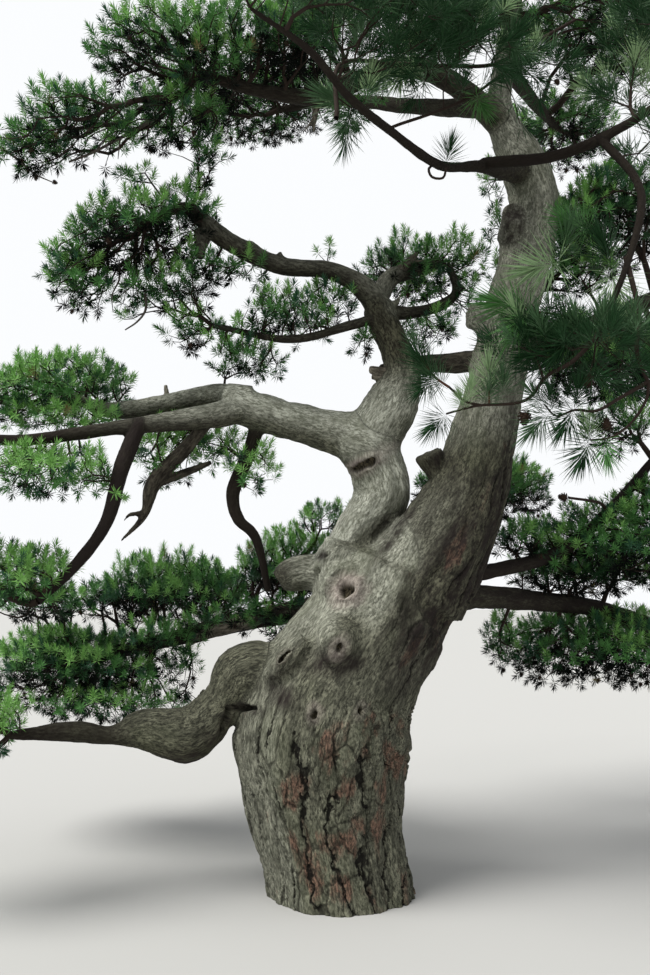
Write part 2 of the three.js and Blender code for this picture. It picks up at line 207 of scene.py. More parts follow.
# Patches of painted shade, mostly under burls, ridges, boughs and a stub and in creases and forks, told in
# the same way
SHADE_PATCHES = [
    (-0.030, 1.340, 0.150, 0.062, 0.0),
    (-0.340, 1.170, 0.085, 0.070, 0.3),
    (-0.550, 1.072, 0.110, 0.030, 0.0),
    (-0.665, 0.990, 0.040, 0.090, -0.3),
    (-0.860, 0.800, 0.170, 0.045, 0.0),
    (-0.700, 0.860, 0.060, 0.080, 0.5),
    (0.130, 2.500, 0.110, 0.018, -1.7),
    (0.330, 2.090, 0.040, 0.170, -0.66),
    (0.455, 1.520, 0.080, 0.180, -0.6),
    (0.690, 2.060, 0.100, 0.240, -0.5),
    (1.035, 3.930, 0.075, 0.105, 0.0),
    (-0.116, 1.945, 0.045, 0.030, 0.0),
]
# How pale with lichen each limb is, from 0 to 1
PALENESS = {
    "left_stem": 0.95,
    "left_bough": 0.95,
    "left_bough_upper": 0.7,
    "left_bough_lower": 0.6,
    "centre_bough": 0.45,
    "upper_left_bough": 0.32,
    "mid_left_bough": 0.25,
    "centre_low_bough": 0.25,
    "right_bough": 0.2,
    "trunk": 0.12,
    "low_left_bough": 0.08,
    "right_stem": 0.04,
    "hanging_left_bough": 0,
    "hanging_inner_bough": 0,
    "near_bough": 0,
    "near_right_bough": 0,
    "near_hanging_bough": 0,
}
PALENESS_ELSEWHERE = 0.08
# The least radius of a limb or twig, in millimetres
THINNEST = 2


def smooth_route(route, radii, step):
    """Points and radii along a centripetal curve through the route, about one step apart, in metres."""
    knots = np.column_stack([np.array(route, float), np.array(radii, float)]) * MM
    knots = np.vstack([2 * knots[0] - knots[1], knots, 2 * knots[-1] - knots[-2]])
    found = []
    for before, start, end, after in zip(knots, knots[1:], knots[2:], knots[3:]):
        spans = ((before, start), (start, end), (end, after))
        gaps = [max(np.linalg.norm((b - a)[:3]) ** 0.5, 1e-4) for a, b in spans]
        leave = (start - before) / gaps[0] - (end - before) / (gaps[0] + gaps[1]) + (end - start) / gaps[1]
        arrive = (end - start) / gaps[1] - (after - start) / (gaps[1] + gaps[2]) + (after - end) / gaps[2]
        leave, arrive = leave * gaps[1], arrive * gaps[1]
        count = max(2, round(np.linalg.norm((end - start)[:3]) / step))
        t = (np.arange(count) / count)[:, None]
        found.append((2 * t**3 - 3 * t**2 + 1) * start + (t**3 - 2 * t**2 + t) * leave
                     + (3 * t**2 - 2 * t**3) * end + (t**3 - t**2) * arrive)
    found = np.vstack(found + [knots[-2:-1]])
    return found[:, :3], np.maximum(found[:, 3], THINNEST * MM)


def deselect():
    bpy.ops.object.select_all(action="DESELECT")


def select_only(thing):
    deselect()
    thing.select_set(True)
    bpy.context.view_layer.objects.active = thing


def tube(path, girth):
    """A closed round limb along a path."""
    deselect()
    bpy.ops.curve.primitive_nurbs_path_add(location=(0, 0, 0))
    curve = bpy.context.object
    curve.data.splines.clear()
    spline = curve.data.splines.new("POLY")
    spline.points.add(len(path) - 1)
    for point, place, radius in zip(spline.points, path, girth):
        point.co = (*place, 1)
        point.radius = radius
    curve.data.bevel_depth = 1
    curve.data.bevel_resolution = 4
    curve.data.use_fill_caps = True
    bpy.ops.object.convert(target="MESH")
    return bpy.context.object


def joined(objects, name):
    select_only(objects[0])
    for one in objects:
        one.select_set(True)
    bpy.ops.object.join()
    whole = bpy.context.object
    whole.name = name
    return whole


def duplicate(thing):
    select_only(thing)
    bpy.ops.object.duplicate()
    return bpy.context.object


def apply_modifier(thing, kind, **settings):
    select_only(thing)
    modifier = thing.modifiers.new(kind.lower(), kind)
    for key, value in settings.items():
        setattr(modifier, key, value)
    bpy.ops.object.modifier_apply(modifier=modifier.name)


# Centre lines, with what the bark needs to follow them: at each point its frame, three columns each for the
# way along, two ways aside and the bend, and last the length so far
STEP = 0.03
LENGTH_SO_FAR = 12
lines = [(name, BARE if name in DEAD_LIMBS else "", *LIMBS[name]) for name in LIMBS] + STUBS
OWNERS = list(LIMBS)
shapes = []
for owner, kind, route, radii in lines:
    path, girth = smooth_route(route, radii, STEP)
    shapes.append((owner, kind, path, girth))


def frames_along(path):
    """Tangents, two side directions carried along without twist, bends and length so far."""
    tangents = np.gradient(path, axis=0)
    tangents /= np.linalg.norm(tangents, axis=1)[:, None]
    pace = np.r_[0, np.cumsum(np.linalg.norm(np.diff(path, axis=0), axis=1))]
    bends = np.gradient(tangents, axis=0) / np.maximum(np.gradient(pace), 1e-6)[:, None]
    side = np.cross(tangents[0], (0, 1, 0.1))
    sides = []
    for tangent in tangents:
        side = side - tangent * side.dot(tangent)
        side /= np.linalg.norm(side)
        sides.append(side)
    sides = np.array(sides)
    return tangents, sides, np.cross(tangents, sides), bends, pace


line_points, line_girth, line_frames, line_shape = [], [], [], []
for index, (owner, kind, path, girth) in enumerate(shapes):
    tangents, sides, others, bends, pace = frames_along(path)
    line_points.append(path)
    line_girth.append(girth)
    line_frames.append(np.column_stack([tangents, sides, others, bends, pace]))
    line_shape.append(np.full(len(path), index))
line_points, line_girth = np.vstack(line_points), np.concatenate(line_girth)
line_frames, line_shape = np.vstack(line_frames), np.concatenate(line_shape)
shape_owner = np.array([OWNERS.index(owner) for owner, _, _, _ in shapes])
shape_bare = np.array([kind == BARE for _, kind, _, _ in shapes])

# The wood in one skin: coarse skins make the fillets at the forks, and a fine skin takes the limbs.
# The left stem and its boughs have fillets of their own, so the fork between the two stems stays sharp
FILLET_VOXEL = 0.024
FILLET_GIRTH = 70
FILLET_SMOOTHING = 9
SKIN_VOXEL = 0.0102
SKIN_SMOOTHING = 5
REAR_WOOD = ("left_stem", "left_bough", "left_bough_lower", "left_bough_upper", "upper_left_bough")
tubes, front_wood, rear_wood = [], [], []
for (owner, kind, path, girth), (_, _, _, radii) in zip(shapes, lines):
    one = tube(path, girth)
    tubes.append(one)
    if radii[0] > FILLET_GIRTH and kind != BARE:
        (rear_wood if owner in REAR_WOOD else front_wood).append(duplicate(one))
for thick in (front_wood, rear_wood):
    fillets = joined(thick, "fillets")
    apply_modifier(fillets, "REMESH", mode="VOXEL", voxel_size=FILLET_VOXEL)
    apply_modifier(fillets, "SMOOTH", factor=0.5, iterations=FILLET_SMOOTHING)
    tubes.append(fillets)
wood = joined(tubes, "wood")
apply_modifier(wood, "REMESH", mode="VOXEL", voxel_size=SKIN_VOXEL)
apply_modifier(wood, "SMOOTH", factor=0.5, iterations=SKIN_SMOOTHING)


def read_points(mesh):
    flat = np.empty(len(mesh.vertices) * 3, np.float32)
    mesh.vertices.foreach_get("co", flat)
    return flat.reshape(-1, 3)


def read_normals(mesh):
    flat = np.empty(len(mesh.vertices) * 3, np.float32)
    mesh.vertex_normals.foreach_get("vector", flat)
    return flat.reshape(-1, 3)


def write_points(mesh, points):
    mesh.vertices.foreach_set("co", np.ascontiguousarray(points, np.float32).ravel())
    mesh.update()


def write_attribute(mesh, name, values):
    values = np.ascontiguousarray(values, np.float32)
    kind = "FLOAT_VECTOR" if values.ndim == 2 else "FLOAT"
    attribute = mesh.attributes.get(name) or mesh.attributes.new(name, kind, "POINT")
    attribute.data.foreach_set("vector" if values.ndim == 2 else "value", values.ravel())


def read_attribute(mesh, name, width):
    flat = np.empty(len(mesh.vertices) * width, np.float32)
    mesh.attributes[name].data.foreach_get("vector" if width == 3 else "value", flat)
    return flat.reshape(-1, 3) if width == 3 else flat


def fade(low, high, values):
    """0 below low, 1 above high, smooth between them. It runs the other way where high is under low."""
    t = np.clip((values - low) / (high - low), 0, 1)
    return t * t * (3 - 2 * t)


POINTS_AT_ONCE = 12000


def nearest_line(points, allowed):
    """For each point, the nearest place of the centre lines allowed, measured from that limb's surface."""
    centres, girths = line_points[allowed], line_girth[allowed]
    best = np.empty(len(points), int)
    squares = (centres**2).sum(1)
    for start in range(0, len(points), POINTS_AT_ONCE):
        some = slice(start, start + POINTS_AT_ONCE)
        reach = (points[some]**2).sum(1)[:, None] + squares - 2 * points[some] @ centres.T
        best[some] = (np.sqrt(np.maximum(reach, 0)) - girths).argmin(1)
    return allowed[best]


# The grain of each point: two places across the limb and one along it, with a shift from limb to limb
GRAIN_SHIFT = 3.7
LEAST_STRETCH = 0.35
points = read_points(wood.data).astype(float)
normals = read_normals(wood.data).astype(float)
BURLS = [k for k, (_, kind, _, _) in enumerate(shapes) if kind == BURL]
near = nearest_line(points, np.flatnonzero(~np.isin(line_shape, BURLS)))
tangents, sides, others, bends = (line_frames[near, k:k + 3] for k in range(0, LENGTH_SO_FAR, 3))
away = points - line_points[near]
stretches = np.maximum(LEAST_STRETCH, 1 - (away * bends).sum(1))
along = line_frames[near, LENGTH_SO_FAR] + (away * tangents).sum(1) / stretches
owner_of = shape_owner[line_shape[near]]
grain = [(away * sides).sum(1), (away * others).sum(1), along + GRAIN_SHIFT * line_shape[near]]

# Hollows are pressed in where a line from the front meets the skin. Reach is told in radii of the hollow,
# and its edge is uneven. A raised ring runs round it, and bark is healed smooth for some way outside that
FRONT = -3.0
AFFECTED = 4
FAR = 9
UNEVENNESS = 0.2
UNEVEN_SCALE = 26
RING_REACH = 1.45
RING_WIDTH = 0.42
HOLE_EDGE = 1.1, 0.62
PIT_EDGE = 1.1, 0.75
SCAR_EDGE = 3.2, 1.2
FULL_SCAR_RADIUS = 0.034
skin = BVHTree.FromPolygons([Vector(p) for p in points], [tuple(f.vertices) for f in wood.data.polygons])
scar = np.zeros(len(points))
pit = np.zeros(len(points))
for across, up, radius, depth, rim, stretch, slope in HOLLOWS + CREASES:
    hit = skin.ray_cast(Vector((across, FRONT, up)), Vector((0, 1, 0)))[0]
    offset = points - np.array(hit)
    facing = normals[np.linalg.norm(offset, axis=1) < 2 * radius].mean(0)
    facing /= np.linalg.norm(facing)
    close = np.linalg.norm(offset, axis=1) < radius * stretch * AFFECTED
    long_way = np.array((math.cos(slope), 0, math.sin(slope)))
    long_way -= facing * long_way.dot(facing)
    long_way /= np.linalg.norm(long_way)
    short_way = np.cross(facing, long_way)
    reach = np.hypot(offset @ long_way / stretch, offset @ short_way) / radius
    uneven = np.array([noise.noise(Vector(spot) * UNEVEN_SCALE) for spot in offset[close]])
    reach[close] *= 1 + UNEVENNESS * uneven
    reach[~close] = FAR
    hole = fade(*HOLE_EDGE, reach)
    ring = np.exp(-((reach - RING_REACH) / RING_WIDTH) ** 2)
    points += facing * (ring * rim - hole * depth)[:, None]
    if rim:
        scar = np.maximum(scar, fade(*SCAR_EDGE, reach) * min(1.0, (radius / FULL_SCAR_RADIUS)**2))
        pit = np.maximum(pit, fade(*PIT_EDGE, reach))
write_points(wood.data, points)

edges = np.empty(len(wood.data.edges) * 2, np.int32)
wood.data.edges.foreach_get("vertices", edges)
edges = edges.reshape(-1, 2)
neighbours = np.bincount(edges.ravel(), minlength=len(points))
parted = line_shape[near][edges]
border = np.zeros(len(points))
border[edges[parted[:, 0] != parted[:, 1]].ravel()] = 1
# How much of its own value a point keeps in each round of softening
OWN_SHARE = 0.3


def soften(values, rounds):
    """Spreads values over the skin, so that they change softly from limb to limb."""
    for _ in range(rounds):
        total = np.bincount(edges[:, 0], values[edges[:, 1]], len(values))
        total += np.bincount(edges[:, 1], values[edges[:, 0]], len(values))
        values = OWN_SHARE * values + (1 - OWN_SHARE) * total / np.maximum(neighbours, 1)
    return values


def on(name):
    return owner_of == OWNERS.index(name)


def patched(patches, strength):
    """How strongly the front of the tree is in one of the patches, from 0 to 1."""
    found = np.zeros(len(points))
    for across, height, half_width, half_height, lean in patches:
        aside = points[:, 0] - across + lean * (up - height)
        spread = np.exp(-(aside / half_width)**2 - ((up - height) / half_height)**2)
        found = np.maximum(found, np.minimum(strength * spread, 1) * at_front)
    return found


# Where the bark lies in plates, flakes off red, gets painted shade, and is pale with lichen, with painted
# light on faces turned up and to the left.
# Each fade gives the heights, places or slopes between which the look comes in
up = points[:, 2]
to_right, to_sky = normals[:, 0], normals[:, 2]
at_front = fade(0.1, 0, points[:, 1])
on_trunk, on_right_stem = on("trunk"), on("right_stem")
low_trunk = fade(1.3, 0.95, up) * on_trunk
right_side = fade(-0.15, 0.55, to_right) * fade(3.4, 2.4, up) * fade(1.0, 1.4, up)
right_side *= (on_trunk | on_right_stem) * fade(0.1, 0.35, points[:, 0])
plated = np.clip(low_trunk + 0.85 * right_side, 0, 1) * (1 - scar)
red = np.maximum(low_trunk * (0.3 + 0.18 * fade(-0.35, 0.35, to_right)), 0.46 * right_side)
red = np.maximum(red, patched(RED_PATCHES, 0.95))

# Painted shade, gathered in dusk: on the right-facing side of the trunk and right stem, on faces of the trunk
# turned down under the burls, on the knob behind the trunk, on the right stem below about 2.5 m, and all over
# the shaded limbs. The right side's plates and red flakes above are the bark's own
under = fade(-0.15, -0.6, to_sky) * fade(1.1, 1.25, up) * fade(1.7, 1.5, up) * on_trunk
rear_knob_shade = np.exp(-((points[:, 0] + 0.37) / 0.12)**2 - ((up - 1.82) / 0.12)**2)
rear_knob_shade *= fade(-0.02, 0.06, points[:, 1]) * on_trunk
shaded = 0.9 * np.isin(owner_of, [OWNERS.index(name) for name in SHADED_LIMBS])
stem_foot = 0.5 * fade(2.7, 2.3, up) * on_right_stem
dusk = np.max([right_side, under, 0.6 * rear_knob_shade, stem_foot, shaded], axis=0)

paleness = np.array([PALENESS.get(name, PALENESS_ELSEWHERE) for name in OWNERS])[owner_of]
# Painted shade and light in the paleness: the upper left stem loses it where it lies in shade, and on the
# limbs it falls away on faces turned down, so tops are lit and undersides shaded
paleness *= np.where(on("left_stem"), fade(3.2, 2.75, up), 1)
paleness *= np.where(on_trunk, 1, 0.12 + 0.88 * fade(-0.7, 0.15, to_sky))
paleness *= np.where(on("left_bough_lower"), fade(-1.7, -0.8, points[:, 0]), 1)
# More lichen high on the right stem; on the trunk and low right stem it is paler on faces turned to the left,
# towards the key light, and that part is painted light
for lichen in (
        0.45 * fade(2.45, 2.8, up) * on_right_stem,
        0.58 * fade(1.15, 1.7, up) * fade(0.35, -0.3, to_right) * on_trunk,
        0.26 * fade(2.6, 2.1, up) * fade(0.2, -0.4, to_right) * on_right_stem,
        0.28 * fade(-0.2, -0.7, to_right) * on_trunk):
    paleness = np.maximum(paleness, lichen)
# The painted shade on the knob behind the trunk takes away its paleness too
paleness *= 1 - 0.85 * rear_knob_shade

# What the relief and the bark's colours read off the skin, softened in that many rounds. Dusk is the painted
# shade
ATTRIBUTES = {
    "grain": np.column_stack(grain),
    "girth": soften(line_girth[near], 14),
    "plated": soften(plated, 12),
    "red": soften(red, 4),
    "dusk": np.maximum(soften(dusk, 8), soften(patched(SHADE_PATCHES, 1.5), 2)),
    "pale": soften(paleness, 24),
    "scar": scar,
    "pit": pit,
    "bare": shape_bare[line_shape[near]].astype(float),
}
for name, values in ATTRIBUTES.items():
    write_attribute(wood.data, name, values)
# The grain jumps where limbs meet, so the relief fades out towards that border
SEAM_SOFTENING = 30
SEAM_GAIN = 6
write_attribute(wood.data, "seam", np.clip(soften(border, SEAM_SOFTENING) * SEAM_GAIN, 0, 1))


# Node helpers, for shaders and for the relief alike
def feed(tree, socket, value):
    """Links a socket to another one, or gives it a plain value."""
    if isinstance(value, bpy.types.NodeSocket):
        tree.links.new(value, socket)
    else:
        socket.default_value = value


def put(tree, kind, inputs=None, **settings):
    made = tree.nodes.new(kind)
    for key, value in settings.items():
        setattr(made, key, value)
    for key, value in (inputs or {}).items():
        feed(tree, made.inputs[key], value)
    return made


def maths(tree, operation, first, second=0.0, third=0.0):
    return put(tree, "ShaderNodeMath", {0: first, 1: second, 2: third}, operation=operation).outputs[0]


def plus(tree, first, second):
    return maths(tree, "ADD", first, second)


def minus(tree, first, second):
    return maths(tree, "SUBTRACT", first, second)


def times(tree, first, second):
    return maths(tree, "MULTIPLY", first, second)


def vectors(tree, operation, first, second):
    return put(tree, "ShaderNodeVectorMath", {0: first, 1: second}, operation=operation).outputs[0]


def ramp(tree, value, low, high, bottom=0.0, top=1.0):
    inputs = {"Value": value, "From Min": low, "From Max": high, "To Min": bottom, "To Max": top}
    return put(tree, "ShaderNodeMapRange", inputs, interpolation_type="SMOOTHSTEP").outputs["Result"]


def clouds(tree, grain, stretch, detail=3.0, roughness=0.55):
    """Soft noise from 0 to 1. Stretch says how fine it is along each way of the grain."""
    place = vectors(tree, "MULTIPLY", grain, stretch)
    inputs = {"Vector": place, "Scale": 1.0, "Detail": detail, "Roughness": roughness}
    return put(tree, "ShaderNodeTexNoise", inputs).outputs["Fac"]


def plate_places(tree, grain, width, height, wander):
    """The grain told in plates, with a drift that makes their edges wander."""
    inputs = {"Vector": grain, "Scale": 0.9 / width, "Detail": 4.0, "Roughness": 0.6}
    drift = put(tree, "ShaderNodeTexNoise", inputs).outputs["Color"]
    drift = vectors(tree, "SUBTRACT", drift, (0.5, 0.5, 0.5))
    drift = vectors(tree, "MULTIPLY", drift, (wander, wander, wander))
    return vectors(tree, "MULTIPLY", vectors(tree, "ADD", grain, drift), (1 / width, 1 / width, 1 / height))


def plate_edges(tree, places):
    """How far each point is from the edge of its plate, in plate widths."""
    inputs = {"Vector": places, "Scale": 1.0}
    return put(tree, "ShaderNodeTexVoronoi", inputs, feature="DISTANCE_TO_EDGE").outputs["Distance"]


def plate_luck(tree, places):
    """A random number for each plate."""
    return put(tree, "ShaderNodeTexVoronoi", {"Vector": places, "Scale": 1.0}, feature="F1").outputs["Color"]


# Sizes of the bark's plates and small scales, and depths of its relief, in metres. Flutes are that deep on a
# limb of the radius FLUTED_GIRTH
PLATE = dict(width=0.125, height=0.30, wander=0.09)
SCALE = dict(width=0.030, height=0.062, wander=0.030)
PLATE_DEPTH = 0.014
GRIT_DEPTH = 0.011
FLUTE_DEPTH = 0.05
FLUTED_GIRTH = 0.2
LUMP_DEPTH = 0.05
CRACKS_ROUND = 19
CRACK_WANDER = 24


def long_cracks(tree, grain):
    """Long wandering cracks, a set number round the limb, that fade out here and there, from 0 to 1."""
    parts = put(tree, "ShaderNodeSeparateXYZ", {0: grain}).outputs
    turn = maths(tree, "ARCTAN2", parts[1], parts[0])
    drift = times(tree, minus(tree, clouds(tree, grain, (2.6, 2.6, 1.5), 6.0, 0.62), 0.5), CRACK_WANDER)
    wave = maths(tree, "SINE", maths(tree, "MULTIPLY_ADD", turn, CRACKS_ROUND, drift))
    strength = ramp(tree, clouds(tree, grain, (5, 5, 3), 2.0), 0.38, 0.52, 0.45, 1.0)
    return times(tree, ramp(tree, wave, 0.88, 0.985), strength)


def relief_group():
    """Pushes the skin in along cracks between plates, and swells it in flutes, lumps and grit."""
    tree = bpy.data.node_groups.new("bark_relief", "GeometryNodeTree")
    tree.interface.new_socket("Geometry", in_out="INPUT", socket_type="NodeSocketGeometry")
    tree.interface.new_socket("Geometry", in_out="OUTPUT", socket_type="NodeSocketGeometry")
    start, end = put(tree, "NodeGroupInput"), put(tree, "NodeGroupOutput")

    def named(name, kind="FLOAT"):
        made = put(tree, "GeometryNodeInputNamedAttribute", {"Name": name}, data_type=kind)
        return made.outputs["Attribute"]

    grain, girth, seam = named("grain", "FLOAT_VECTOR"), named("girth"), named("seam")
    places = plate_places(tree, grain, **PLATE)
    gaps = times(tree, minus(tree, ramp(tree, plate_edges(tree, places), 0.0, 0.08), 1.0), 0.5)
    broad = minus(tree, gaps, long_cracks(tree, grain))
    broad = plus(tree, broad, times(tree, plate_luck(tree, places), 0.6))
    broad = times(tree, times(tree, broad, named("plated")), PLATE_DEPTH)
    grit = minus(tree, clouds(tree, grain, (36, 36, 17), 3.0, 0.6), 0.5)
    rough = ramp(tree, girth, 0.02, 0.15, 0.35, 1.0)
    rough = times(tree, rough, ramp(tree, named("scar"), 0.0, 1.0, 1.0, 0.2))
    grit = times(tree, times(tree, grit, rough), GRIT_DEPTH)
    bark = times(tree, plus(tree, broad, grit), ramp(tree, named("bare"), 0.0, 1.0, 1.0, 0.4))
    bark = times(tree, bark, ramp(tree, seam, 0.3, 1.0, 1.0, 0.2))
    flute = minus(tree, clouds(tree, grain, (4.5, 4.5, 0.9), 2.0), 0.5)
    flute = times(tree, flute, times(tree, girth, FLUTE_DEPTH / FLUTED_GIRTH))
    lump = minus(tree, clouds(tree, grain, (9.0, 9.0, 5.0), 2.0), 0.5)
    lump = times(tree, lump, maths(tree, "MINIMUM", times(tree, girth, 0.45), LUMP_DEPTH))
    swell = times(tree, plus(tree, flute, lump), ramp(tree, seam, 0.0, 1.0, 1.0, 0.1))
    inputs = {0: put(tree, "GeometryNodeInputNormal").outputs["Normal"], "Scale": plus(tree, bark, swell)}
    offset = put(tree, "ShaderNodeVectorMath", inputs, operation="SCALE").outputs[0]
    moved = put(tree, "GeometryNodeSetPosition", {"Geometry": start.outputs[0], "Offset": offset})
    tree.links.new(moved.outputs["Geometry"], end.inputs[0])
    return tree


apply_modifier(wood, "NODES", node_group=relief_group())

# The trunk is cut flat at the ground, and the skin is parted limb by limb, with its shading kept whole
select_only(wood)
write_attribute(wood.data, "limb", owner_of.astype(float))
bpy.ops.object.mode_set(mode="EDIT")
bpy.ops.mesh.select_all(action="SELECT")
bpy.ops.mesh.bisect(plane_co=(0, 0, 0), plane_no=(0, 0, 1), clear_inner=True, use_fill=True)
bpy.ops.mesh.select_all(action="SELECT")
bpy.ops.mesh.quads_convert_to_tris(quad_method="SHORTEST_DIAGONAL", ngon_method="BEAUTY")
bpy.ops.object.mode_set(mode="OBJECT")
points, normals = read_points(wood.data), read_normals(wood.data)
points[:, 2] = np.maximum(points[:, 2], 0)
kept = {name: read_attribute(wood.data, name, 3 if name == "grain" else 1) for name in ATTRIBUTES}
limb_of = np.rint(read_attribute(wood.data, "limb", 1)).astype(int)
corners = np.empty(len(wood.data.polygons) * 3, np.int32)
wood.data.loops.foreach_get("vertex_index", corners)
corners = corners.reshape(-1, 3)
face_limb = np.median(limb_of[corners], axis=1).astype(int)
bpy.data.objects.remove(wood)


def mesh_of(name, places, triangles):
    """A mesh from arrays of places and triangles."""
    mesh = bpy.data.meshes.new(name)
    mesh.vertices.add(len(places))
    mesh.vertices.foreach_set("co", np.ascontiguousarray(places, np.float32).ravel())
    mesh.loops.add(triangles.size)
    mesh.loops.foreach_set("vertex_index", np.ascontiguousarray(triangles, np.int32).ravel())
    mesh.polygons.add(len(triangles))
    mesh.polygons.foreach_set("loop_start", np.arange(0, triangles.size, 3, dtype=np.int32))
    mesh.update(calc_edges=True)
    return mesh


def show(name, mesh):
    thing = bpy.data.objects.new(name, mesh)
    bpy.context.scene.collection.objects.link(thing)
    return thing


def shade_smooth(mesh):
    mesh.polygons.foreach_set("use_smooth", np.ones(len(mesh.polygons), bool))


def limb_piece(index):
    """One limb's bark, closed inside the wood where it leaves its parent."""
    used, triangles = np.unique(corners[face_limb == index], return_inverse=True)
    mesh = mesh_of("bark_" + OWNERS[index], points[used], triangles.reshape(-1, 3))
    piece = show("bark_" + OWNERS[index], mesh)
    for name, values in kept.items():
        write_attribute(mesh, name, values[used])
    skin_faces = len(mesh.polygons)
    select_only(piece)
    bpy.ops.object.mode_set(mode="EDIT")
    bpy.ops.mesh.select_all(action="SELECT")
    bpy.ops.mesh.fill_holes(sides=0)
    bpy.ops.object.mode_set(mode="OBJECT")
    shade_smooth(mesh)
    shading = normals[used][np.array([loop.vertex_index for loop in mesh.loops])]
    for face in list(mesh.polygons)[skin_faces:]:
        shading[list(face.loop_indices)] = face.normal
    mesh.normals_split_custom_set(shading)
    return piece


limb_pieces = [limb_piece(index) for index in range(len(OWNERS))]


# Materials
def material(name, roughness, specular):
    made = bpy.data.materials.new(name)
    made.use_nodes = True
    shader = made.node_tree.nodes["Principled BSDF"]
    shader.inputs["Roughness"].default_value = roughness
    shader.inputs["Specular IOR Level"].default_value = specular
    return made, shader


def mixed(tree, share, first, second):
    """The first colour, with a share of the second in it."""
    made = put(tree, "ShaderNodeMix", data_type="RGBA")
    colours = [socket for socket in made.inputs if socket.type == "RGBA"]
    for socket, value in zip([made.inputs[0]] + colours, (share, first, second)):
        feed(tree, socket, value)
    return next(socket for socket in made.outputs if socket.type == "RGBA")


def colour(red, green, blue):
    """A colour as it looks on a screen, from 0 to 255, made linear."""
    return tuple(((c / 255 + 0.055) / 1.055) ** 2.4 for c in (red, green, blue)) + (1,)


# Colours of the bark, the first of a pair in its dark flecks and the second in its light ones
PLAIN_BARK = colour(28, 28, 21), colour(114, 114, 92)
LICHEN = colour(118, 120, 106), colour(226, 228, 214)
FLAKED = colour(48, 37, 31), colour(138, 105, 89)
HEALED = colour(124, 112, 106), colour(188, 176, 168)
HOLLOW = colour(28, 25, 20), colour(98, 90, 72)
MOSS = colour(92, 98, 74)
# Thin limbs are darker: partly their own darker bark, partly painted shade on the near and hanging boughs
# that lie in shade
THIN_BARK_AND_SHADE = colour(30, 23, 19)
# The colour of the painted shade, which the dusk mask mixes into the bark
PAINTED_SHADE = colour(36, 29, 28)
CRACK = colour(19, 17, 14)
SPLIT = colour(36, 31, 27)
BARK_MASKS = ("Girth", "Plated", "Red", "Dusk", "Pale", "Scar", "Pit")


def bark_group():
    """Colour and height of bark: flecks, streaks, cracks between plates, red flakes, lichen, painted shade,
    healed scars.
    """
    tree = bpy.data.node_groups.new("bark_pattern", "ShaderNodeTree")
    tree.interface.new_socket("Grain", in_out="INPUT", socket_type="NodeSocketVector")
    for name in BARK_MASKS:
        tree.interface.new_socket(name, in_out="INPUT", socket_type="NodeSocketFloat")
    tree.interface.new_socket("Color", in_out="OUTPUT", socket_type="NodeSocketColor")
    tree.interface.new_socket("Height", in_out="OUTPUT", socket_type="NodeSocketFloat")
    given, out = put(tree, "NodeGroupInput").outputs, put(tree, "NodeGroupOutput")
    grain = given["Grain"]
    plate_edge = plate_edges(tree, plate_places(tree, grain, **PLATE))
    scale_edge = plate_edges(tree, plate_places(tree, grain, **SCALE))
    fleck = clouds(tree, grain, (92, 92, 30), 5.0, 0.8)
    streak = clouds(tree, grain, (38, 38, 14), 5.0, 0.7)
    mottle = clouds(tree, grain, (15, 15, 6.5), 4.0, 0.62)
    patch = clouds(tree, grain, (11, 11, 4.2), 4.0, 0.62)
    cover = clouds(tree, grain, (3.1, 3.1, 1.7), 4.0, 0.6)

    dark, light = (mixed(tree, given["Pale"], bark, lichen) for bark, lichen in zip(PLAIN_BARK, LICHEN))
    base = mixed(tree, ramp(tree, fleck, 0.40, 0.60), dark, light)
    base = mixed(tree, ramp(tree, mottle, 0.4, 0.6, 0.5, 0.0), base, dark)
    base = mixed(tree, ramp(tree, streak, 0.53, 0.66, 0.0, 0.45), base, light)
    base = mixed(tree, ramp(tree, streak, 0.34, 0.47, 0.55, 0.0), base, dark)
    base = mixed(tree, ramp(tree, scale_edge, 0.0, 0.22, 0.32, 0.0), base, dark)
    base = mixed(tree, ramp(tree, cover, 0.48, 0.62, 0.0, 0.18), base, MOSS)
    # Thin limbs without lichen turn darker, with their own bark and with painted shade
    thin = minus(tree, ramp(tree, given["Girth"], 0.03, 0.14, 0.94, 0.0), given["Pale"])
    base = mixed(tree, maths(tree, "MAXIMUM", thin, 0.0), base, THIN_BARK_AND_SHADE)

    shift = times(tree, minus(tree, given["Red"], 0.5), 0.5)
    reddish = ramp(tree, plus(tree, patch, shift), 0.5, 0.66)
    reddish = times(tree, reddish, ramp(tree, streak, 0.38, 0.54, 0.3, 0.85))
    base = mixed(tree, reddish, base, mixed(tree, ramp(tree, fleck, 0.4, 0.64), *FLAKED))
    # Painted shade, mottled, where the dusk mask is
    dusk = times(tree, ramp(tree, mottle, 0.35, 0.6, 0.95, 0.5), given["Dusk"])
    base = mixed(tree, dusk, base, PAINTED_SHADE)
    healed = mixed(tree, ramp(tree, fleck, 0.34, 0.66), *HEALED)
    base = mixed(tree, times(tree, given["Scar"], 0.72), base, healed)

    wide = times(tree, ramp(tree, plate_edge, 0.008, 0.045, 0.6, 0.0), ramp(tree, cover, 0.4, 0.55))
    wide = times(tree, maths(tree, "MAXIMUM", wide, long_cracks(tree, grain)), given["Plated"])
    base = mixed(tree, times(tree, wide, 0.95), base, CRACK)
    base = mixed(tree, given["Pit"], base, mixed(tree, ramp(tree, fleck, 0.4, 0.62), *HOLLOW))
    tree.links.new(base, out.inputs["Color"])

    height = plus(tree, times(tree, fleck, 0.9), times(tree, ramp(tree, scale_edge, 0.0, 0.3), 0.22))
    height = plus(tree, height, times(tree, streak, 0.7))
    tree.links.new(minus(tree, height, times(tree, wide, 0.8)), out.inputs["Height"])
    return tree


BARK_PATTERN = bark_group()


def attribute(tree, name):
    return put(tree, "ShaderNodeAttribute", attribute_name=name)


